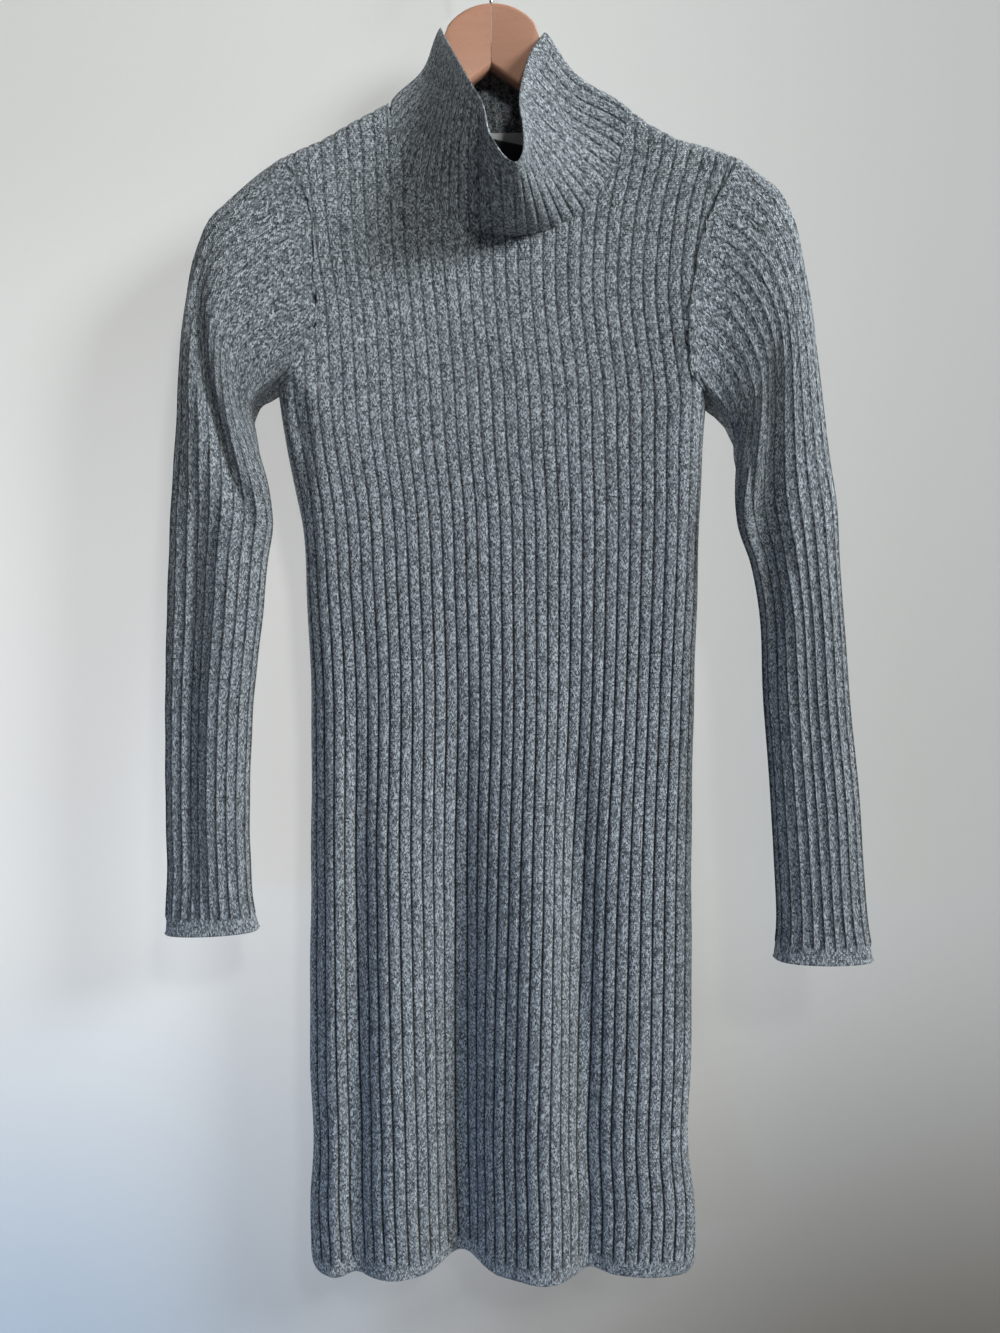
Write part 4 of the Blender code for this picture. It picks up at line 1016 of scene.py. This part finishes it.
class Shader:
    """A material and its Principled BSDF, with one method that adds any node."""

    def __init__(self, name, **constants):
        self.material = bpy.data.materials.new(name)
        self.material.use_nodes = True
        self.tree = self.material.node_tree
        self.surface = self.tree.nodes["Principled BSDF"]
        for socket, value in constants.items():
            self.surface.inputs[socket.replace("_", " ")].default_value = value

    def node(self, kind, settings=None, sockets=None, output=0):
        """Adds a node: its settings first, then a value or a link for each socket named."""
        made = self.tree.nodes.new(kind)
        for key, value in (settings or {}).items():
            if key == "stops":
                ramp = made.color_ramp
                while len(ramp.elements) < len(value):
                    ramp.elements.new(0.5)
                for element, (place, colour) in zip(ramp.elements, value):
                    element.position = place
                    element.color = colour
            else:
                setattr(made, key, value)
        for key, value in (sockets or {}).items():
            if isinstance(value, Value):
                self.tree.links.new(value.socket, made.inputs[key])
            else:
                made.inputs[key].default_value = value
        return Value(self, made.outputs[output])

    def feed(self, socket, value):
        """Links a value to a socket of the surface."""
        self.tree.links.new(value.socket, self.surface.inputs[socket])

    def mix(self, factor, first, second):
        """Colour between two: the first at 0, the second at 1."""
        return self.node("ShaderNodeMix", {"data_type": "RGBA"}, {0: factor, 6: first, 7: second}, output=2)

    def place(self):
        """Place on the piece in metres, from its origin."""
        return self.node("ShaderNodeTexCoord", output="Object")

    def parts(self, vector):
        """X, Y and Z of a vector."""
        split = self.node("ShaderNodeSeparateXYZ", {}, {0: vector}).socket.node
        return [Value(self, output) for output in split.outputs]

    def uv(self, name):
        """The two values of one of the piece's UV maps."""
        return self.parts(self.node("ShaderNodeUVMap", {"uv_map": name}))[:2]

    def bump(self, height, strength, distance):
        """Feeds the normal with a bump of this height."""
        sockets = {"Strength": strength, "Distance": distance, "Height": height}
        self.feed("Normal", self.node("ShaderNodeBump", {}, sockets))

    def fade(self, value, start, end):
        """0 at the start and 1 at the end, with level ends; start may be the greater."""
        sockets = {"Value": value, "From Min": start, "From Max": end, "To Min": 0.0, "To Max": 1.0}
        return self.node("ShaderNodeMapRange", {"interpolation_type": "SMOOTHSTEP"}, sockets)

    def vector(self, x, y, z=0.0):
        """Three values as one vector."""
        return self.node("ShaderNodeCombineXYZ", {}, {0: x, 1: y, 2: z})

    def noise(self, at, scale, detail=2.0, roughness=0.5):
        """Cloudy noise, from 0 to 1."""
        sockets = {"Vector": at, "Scale": scale, "Detail": detail, "Roughness": roughness}
        return self.node("ShaderNodeTexNoise", {"noise_dimensions": "3D"}, sockets)


def rgba(colour, gain=1.0):
    """A colour made lighter or darker, with full alpha."""
    return (colour[0] * gain, colour[1] * gain, colour[2] * gain, 1.0)


def marled_knit(settings):
    """Marled wool knit. Each wale is a column of V stitches, whose two legs slope up from its middle. Each
    leg takes its own tone of yarn, dark, mid or light, mottled by slow noise, with painted shade darkening
    the grooves between ribs."""
    if "marled_knit" in bpy.data.materials:
        return bpy.data.materials["marled_knit"]
    surface = {"Roughness": 0.92, "Sheen_Weight": 0.12, "Sheen_Roughness": 0.5, "Specular_IOR_Level": 0.25}
    shader = Shader("marled_knit", **surface)
    rib, run = shader.uv("knit")
    painted_shade_depth, _ = shader.uv("groove")
    place = shader.place()

    wobble = (shader.noise(place, 420.0, 1.0) - 0.5) * 0.4
    wale = rib * WALES_A_RIB + wobble
    across = wale.math("FRACT") - 0.5
    course = run / COURSE + across.math("ABSOLUTE") * 1.1 + wobble
    cell = shader.vector((wale * 2.0).math("FLOOR"), course.math("FLOOR"))
    chance = shader.node("ShaderNodeTexWhiteNoise", {"noise_dimensions": "2D"}, {"Vector": cell})
    fibre = shader.noise(shader.vector(rib * 14.0, run * 1400.0), 1.0, 3.0, 0.7)
    blotch = shader.noise(place, 520.0, 2.0, 0.55)
    tone = chance * 0.52 + fibre * 0.60 + blotch * 0.30 - 0.21
    stops = (
        (0.24, rgba(settings.dark_yarn)),
        (0.42, rgba(settings.mid_yarn, 0.80)),
        (0.58, rgba(settings.mid_yarn, 1.25)),
        (0.78, rgba(settings.light_yarn)),
    )
    yarn = shader.node("ShaderNodeValToRGB", {"stops": stops}, {0: tone})

    # Painted shade: the colour is darkened in the grooves between ribs, as much as the groove map says
    part = rib.math("FRACT")
    to_groove = part.math("MINIMUM", 1.0 - part)
    groove = shader.fade(to_groove, 0.15, 0.03)
    painted_shade = 1.0 - groove * painted_shade_depth * 0.80
    colour = shader.node("ShaderNodeVectorMath", {"operation": "SCALE"}, {0: yarn, "Scale": painted_shade})
    shader.feed("Base Color", colour)

    leg = (wale * (2 * math.pi)).math("SINE").math("ABSOLUTE") ** 0.5
    stroke = (course * (2 * math.pi)).math("COSINE") * 0.5 + 0.5
    height = leg * stroke + fibre * 0.5 + chance * 0.25
    shader.bump(height, 0.85, 0.0007)
    return shader.material


def woven_label(settings):
    """Bare white satin tape: fine crosswise weft, a denser selvedge above and below."""
    shader = Shader("white_satin_tape", Roughness=0.55, Sheen_Weight=0.2)
    across, down = shader.uv("weave")
    weft = (down * (2 * math.pi / 0.00035)).math("SINE") * 0.5 + 0.5
    warp = (across * (2 * math.pi / 0.0004)).math("SINE") * 0.5 + 0.5
    weave = weft * 0.7 + warp * 0.3
    shader.feed("Base Color", shader.mix(weave, rgba(settings.label, 0.88), rgba(settings.label)))
    shader.bump(weave, 0.3, 0.0002)
    return shader.material


def black_tape(settings):
    """Bare black woven tab: a plain weave with a faint lighter crossing."""
    shader = Shader("black_woven_tape", Roughness=0.75, Sheen_Weight=0.15)
    across, down = shader.uv("weave")
    weft = (down * (2 * math.pi / 0.0005)).math("SINE")
    warp = (across * (2 * math.pi / 0.0005)).math("SINE")
    weave = weft * warp * 0.5 + 0.5
    shader.feed("Base Color", shader.mix(weave, rgba((0.008, 0.008, 0.009)), rgba((0.022, 0.023, 0.026))))
    shader.bump(weave, 0.4, 0.0002)
    return shader.material


def beech(side, settings):
    """Beech under clear lacquer: long level grain, with short dark flecks and slow figure. Each half has its
    own turn, so that their figures differ, and the right half is a tenth darker: painted shade."""
    shader = Shader(side + "_beech", Roughness=0.42, Coat_Weight=0.25, Coat_Roughness=0.3)
    place = shader.place()
    turn = (0.0, math.atan(0.62 if side == "right" else -0.62), 0.0)
    long_marks = {"Vector": place, "Rotation": turn, "Scale": (14.0, 160.0, 160.0)}
    grain = shader.noise(shader.node("ShaderNodeMapping", {}, long_marks), 1.0, 4.0, 0.6)
    short_marks = {"Vector": place, "Rotation": turn, "Scale": (260.0, 900.0, 1500.0)}
    flecks = shader.noise(shader.node("ShaderNodeMapping", {}, short_marks), 1.0, 1.0)
    fleck = shader.node("ShaderNodeMapRange", {}, {"Value": flecks, "From Min": 0.60, "From Max": 0.74})
    figure = shader.noise(place, 26.0, 2.0)
    # Painted shade: the right half's colour is a tenth darker, as that half turns away from the light
    light = 1.0 if side == "left" else 0.90
    deep, pale = rgba(settings.wood, 0.86 * light), rgba(settings.wood, 1.12 * light)
    base = shader.mix(grain * 0.75 + figure * 0.25, deep, pale)
    shader.feed("Base Color", shader.mix(fleck * 0.35, base, rgba(settings.wood, 0.55)))
    shader.feed("Roughness", grain * 0.12 + 0.36)
    shader.bump(grain + fleck * -0.5, 0.15, 0.0003)
    return shader.material


def plated_wire(settings):
    """Plated steel wire with faint drawing marks."""
    shader = Shader("plated_wire", Metallic=1.0)
    place = shader.place()
    marks = shader.noise(place, 900.0, 2.0)
    shader.feed("Base Color", shader.mix(marks, rgba(settings.wire, 0.85), rgba(settings.wire, 1.1)))
    shader.feed("Roughness", marks * 0.15 + 0.22)
    return shader.material


def wall_with_painted_light(settings):
    """Pale painted wall with painted light and shade, which glows with its colour as painted light. Seen from
    its front only: from behind, and for light from behind, it is clear.
    """
    # Painted light: an emission strength of 1.2 makes the wall glow, which lifts the shadows cast on it
    shader = Shader("wall_with_painted_light", Roughness=0.9, Emission_Strength=1.2)
    place = shader.place()
    roller = shader.noise(place, 160.0, 3.0, 0.6)
    wall_colour_and_painted_light = shader.mix(roller, rgba(settings.wall, 0.985), rgba(settings.wall, 1.01))
    x, _, z = shader.parts(place)
    low = shader.fade(z, -0.75, -1.25)
    # Painted light and shade: darker to the right, lighter half way up on the left, a cool pool of light low
    # on the left, painted shade low on the right
    painted_light_and_shade = (
        (shader.fade(x, -0.15, 0.50) * 0.36, (0.0, 0.0, 0.0)),
        (shader.fade(z, -0.10, -0.55) * shader.fade(x, 0.30, -0.30) * 0.12, (1.0, 1.0, 1.0)),
        (low * shader.fade(x, 0.10, -0.40) * 0.86, (0.170, 0.230, 0.305)),
        (low * shader.fade(x, -0.60, 0.42) * 0.95, (0.046, 0.040, 0.032)),
    )
    for amount, tint in painted_light_and_shade:
        wall_colour_and_painted_light = shader.mix(amount, wall_colour_and_painted_light, rgba(tint))
    shader.feed("Base Color", wall_colour_and_painted_light)
    # Painted light: the wall glows with this same colour
    shader.feed("Emission Color", wall_colour_and_painted_light)
    shader.bump(roller, 0.08, 0.001)
    behind = shader.node("ShaderNodeNewGeometry", {}, {}, output="Backfacing")
    shadow = shader.node("ShaderNodeLightPath", {}, {}, output="Is Shadow Ray")
    clear = shader.node("ShaderNodeBsdfTransparent")
    out = shader.tree.nodes["Material Output"]
    painted = Value(shader, shader.surface.outputs[0])
    hidden = behind.math("MAXIMUM", shadow)
    mixed = shader.node("ShaderNodeMixShader", {}, {0: hidden, 1: painted, 2: clear})
    shader.tree.links.new(mixed.socket, out.inputs["Surface"])
    return shader.material


def pale_floor(settings):
    """Pale matt floor with faint clouding."""
    shader = Shader("pale_floor", Roughness=0.8)
    place = shader.place()
    cloud = shader.noise(place, 3.0, 3.0)
    shader.feed("Base Color", shader.mix(cloud, rgba(settings.floor, 0.97), rgba(settings.floor, 1.02)))
    return shader.material


# ---------------------------------------------------------------- settings, operators and panel


class DressSettings(bpy.types.PropertyGroup):
    """Sizes and colours of the dress and its hanger."""

    cloth: bpy.props.FloatProperty(
        name="Cloth", description="Thickness of the knit at a groove", default=0.0016, unit="LENGTH"
    )
    rib_height: bpy.props.FloatProperty(
        name="Rib height", description="From groove to crown", default=0.0018, unit="LENGTH"
    )
    body_ribs: bpy.props.IntProperty(
        name="Body ribs", description="Ribs across the front or back", default=38
    )
    sleeve_ribs: bpy.props.IntProperty(
        name="Sleeve ribs", description="Ribs round a sleeve, an even number", default=22
    )
    collar_ribs_front: bpy.props.IntProperty(
        name="Collar ribs, front", description="Ribs round the front of the collar", default=34
    )
    collar_ribs_back: bpy.props.IntProperty(
        name="Collar ribs, back", description="Ribs round the back of the collar", default=20
    )
    dark_yarn: bpy.props.FloatVectorProperty(
        name="Dark yarn",
        description="Darkest fibres of the marl",
        subtype="COLOR",
        default=(0.030, 0.036, 0.044),
    )
    mid_yarn: bpy.props.FloatVectorProperty(
        name="Mid yarn",
        description="Main tone of the marl",
        subtype="COLOR",
        default=(0.190, 0.212, 0.232),
    )
    light_yarn: bpy.props.FloatVectorProperty(
        name="Light yarn",
        description="Lightest fibres of the marl",
        subtype="COLOR",
        default=(0.58, 0.61, 0.65),
    )
    wood: bpy.props.FloatVectorProperty(
        name="Wood", description="Lacquered beech", subtype="COLOR", default=(0.49, 0.245, 0.160)
    )
    wire: bpy.props.FloatVectorProperty(
        name="Wire", description="Plated hook", subtype="COLOR", default=(0.55, 0.55, 0.55)
    )
    label: bpy.props.FloatVectorProperty(
        name="Label", description="Bare white tape", subtype="COLOR", default=(0.72, 0.72, 0.70)
    )
    # The wall's colour, which it also glows with as painted light
    wall: bpy.props.FloatVectorProperty(
        name="Wall", description="Painted wall behind", subtype="COLOR", default=(0.315, 0.315, 0.309)
    )
    floor: bpy.props.FloatVectorProperty(
        name="Floor", description="Floor below", subtype="COLOR", default=(0.72, 0.72, 0.71)
    )


class DRESS_OT_body(bpy.types.Operator):
    """Build the front and back panels"""

    bl_idname = "dress.body"
    bl_label = "Front and Back"

    def execute(self, context):
        for layer in ("front", "back"):
            cloth, area = body_panel(layer, context.scene.dress)
        return {"FINISHED"}


class DRESS_OT_sleeves(bpy.types.Operator):
    """Build both sleeves"""

    bl_idname = "dress.sleeves"
    bl_label = "Sleeves"

    def execute(self, context):
        for side in ("left", "right"):
            cloth, area = sleeve(side, context.scene.dress)
        return {"FINISHED"}


class DRESS_OT_collar(bpy.types.Operator):
    """Build the funnel collar"""

    bl_idname = "dress.collar"
    bl_label = "Collar"

    def execute(self, context):
        cloth, area, seam = collar(context.scene.dress)
        return {"FINISHED"}


class DRESS_OT_labels(bpy.types.Operator):
    """Build the bare neck label and the tab below it"""

    bl_idname = "dress.labels"
    bl_label = "Labels"

    def execute(self, context):
        settings = context.scene.dress
        white = label("neck", "neck_tape", "neck_label", woven_label(settings), "white_label")
        black = label("tab", "black_tape_tab", "size_tab", black_tape(settings), "black_tab")
        return {"FINISHED"}


class DRESS_OT_hanger(bpy.types.Operator):
    """Build the wooden hanger and its wire hook"""

    bl_idname = "dress.hanger"
    bl_label = "Hanger"

    def execute(self, context):
        for side in ("left", "right"):
            wooden_arm(side, context.scene.dress)
        wire_hook(context.scene.dress)
        return {"FINISHED"}


def stage_plane(name, corners, finish):
    """One flat piece of the stage, which isn't part of the object."""
    mesh = bpy.data.meshes.new(name)
    mesh.from_pydata(corners, [], [(0, 1, 2, 3)])
    mesh.materials.append(finish)
    plane = bpy.data.objects.new(name, mesh)
    bpy.context.scene.collection.objects.link(plane)


class DRESS_OT_stage(bpy.types.Operator):
    """Set up the wall, floor, lights and camera"""

    bl_idname = "dress.stage"
    bl_label = "Stage"

    def execute(self, context):
        settings = context.scene.dress
        scene = context.scene
        around = ((-1, -1), (1, -1), (1, 1), (-1, 1))
        wall = [(WALL_HALF * x, WALL_Y, FLOOR_Z if up < 0 else WALL_TOP) for x, up in around]
        stage_plane("wall_behind", wall, wall_with_painted_light(settings))
        floor = [(FLOOR_HALF * x, FLOOR_HALF * y, FLOOR_Z) for x, y in around]
        stage_plane("floor_below", floor, pale_floor(settings))
        for row in LIGHTS:
            light = dict(zip(LIGHT_COLUMNS, row))
            lamp = bpy.data.lights.new(light["name"], "AREA")
            lamp.shape = "DISK"
            lamp.size, lamp.energy, lamp.color = light["size"], light["power"], light["colour"]
            lamp.spread = math.radians(light["spread"])
            made = bpy.data.objects.new(light["name"], lamp)
            made.location = light["at"]
            made.rotation_euler = aimed(light["at"], light["towards"])
            scene.collection.objects.link(made)
        world = bpy.data.worlds.new("studio")
        world.use_nodes = True
        sky = world.node_tree.nodes["Background"]
        sky.inputs["Color"].default_value = rgba(SKY_COLOUR)
        sky.inputs["Strength"].default_value = SKY_STRENGTH
        scene.world = world
        scene.view_settings.view_transform = "Standard"
        camera = bpy.data.cameras.new("camera")
        camera.lens = CAMERA_LENS
        camera.sensor_width = CAMERA_SENSOR
        camera.sensor_fit = "AUTO"
        made = bpy.data.objects.new("camera", camera)
        made.location = CAMERA_AT
        made.rotation_euler = (math.pi / 2, 0.0, 0.0)
        scene.collection.objects.link(made)
        scene.camera = made
        return {"FINISHED"}


def aimed(at, towards):
    """Turn of a lamp that looks from one point towards another."""
    x, y, z = (b - a for a, b in zip(at, towards))
    flat = math.hypot(x, y)
    return (math.pi / 2 + math.atan2(z, flat), 0.0, math.atan2(-x, y))


class DRESS_PT_panel(bpy.types.Panel):
    """Settings of the dress, and a button for each operator"""

    bl_label = "Sweater Dress"
    bl_idname = "DRESS_PT_panel"
    bl_space_type = "VIEW_3D"
    bl_region_type = "UI"
    bl_category = "Dress"

    def draw(self, context):
        for name in DressSettings.__annotations__:
            self.layout.prop(context.scene.dress, name)
        for operator in OPERATORS:
            self.layout.operator(operator.bl_idname)


OPERATORS = (
    DRESS_OT_body,
    DRESS_OT_sleeves,
    DRESS_OT_collar,
    DRESS_OT_labels,
    DRESS_OT_hanger,
    DRESS_OT_stage,
)
CLASSES = (DressSettings, *OPERATORS, DRESS_PT_panel)


def register():
    for made in CLASSES:
        bpy.utils.register_class(made)
    bpy.types.Scene.dress = bpy.props.PointerProperty(type=DressSettings)


def unregister():
    del bpy.types.Scene.dress
    for made in reversed(CLASSES):
        bpy.utils.unregister_class(made)


def main():
    register()
    bpy.ops.dress.body()
    bpy.ops.dress.sleeves()
    bpy.ops.dress.collar()
    bpy.ops.dress.labels()
    bpy.ops.dress.hanger()
    bpy.ops.dress.stage()


if __name__ == "__main__":
    main()
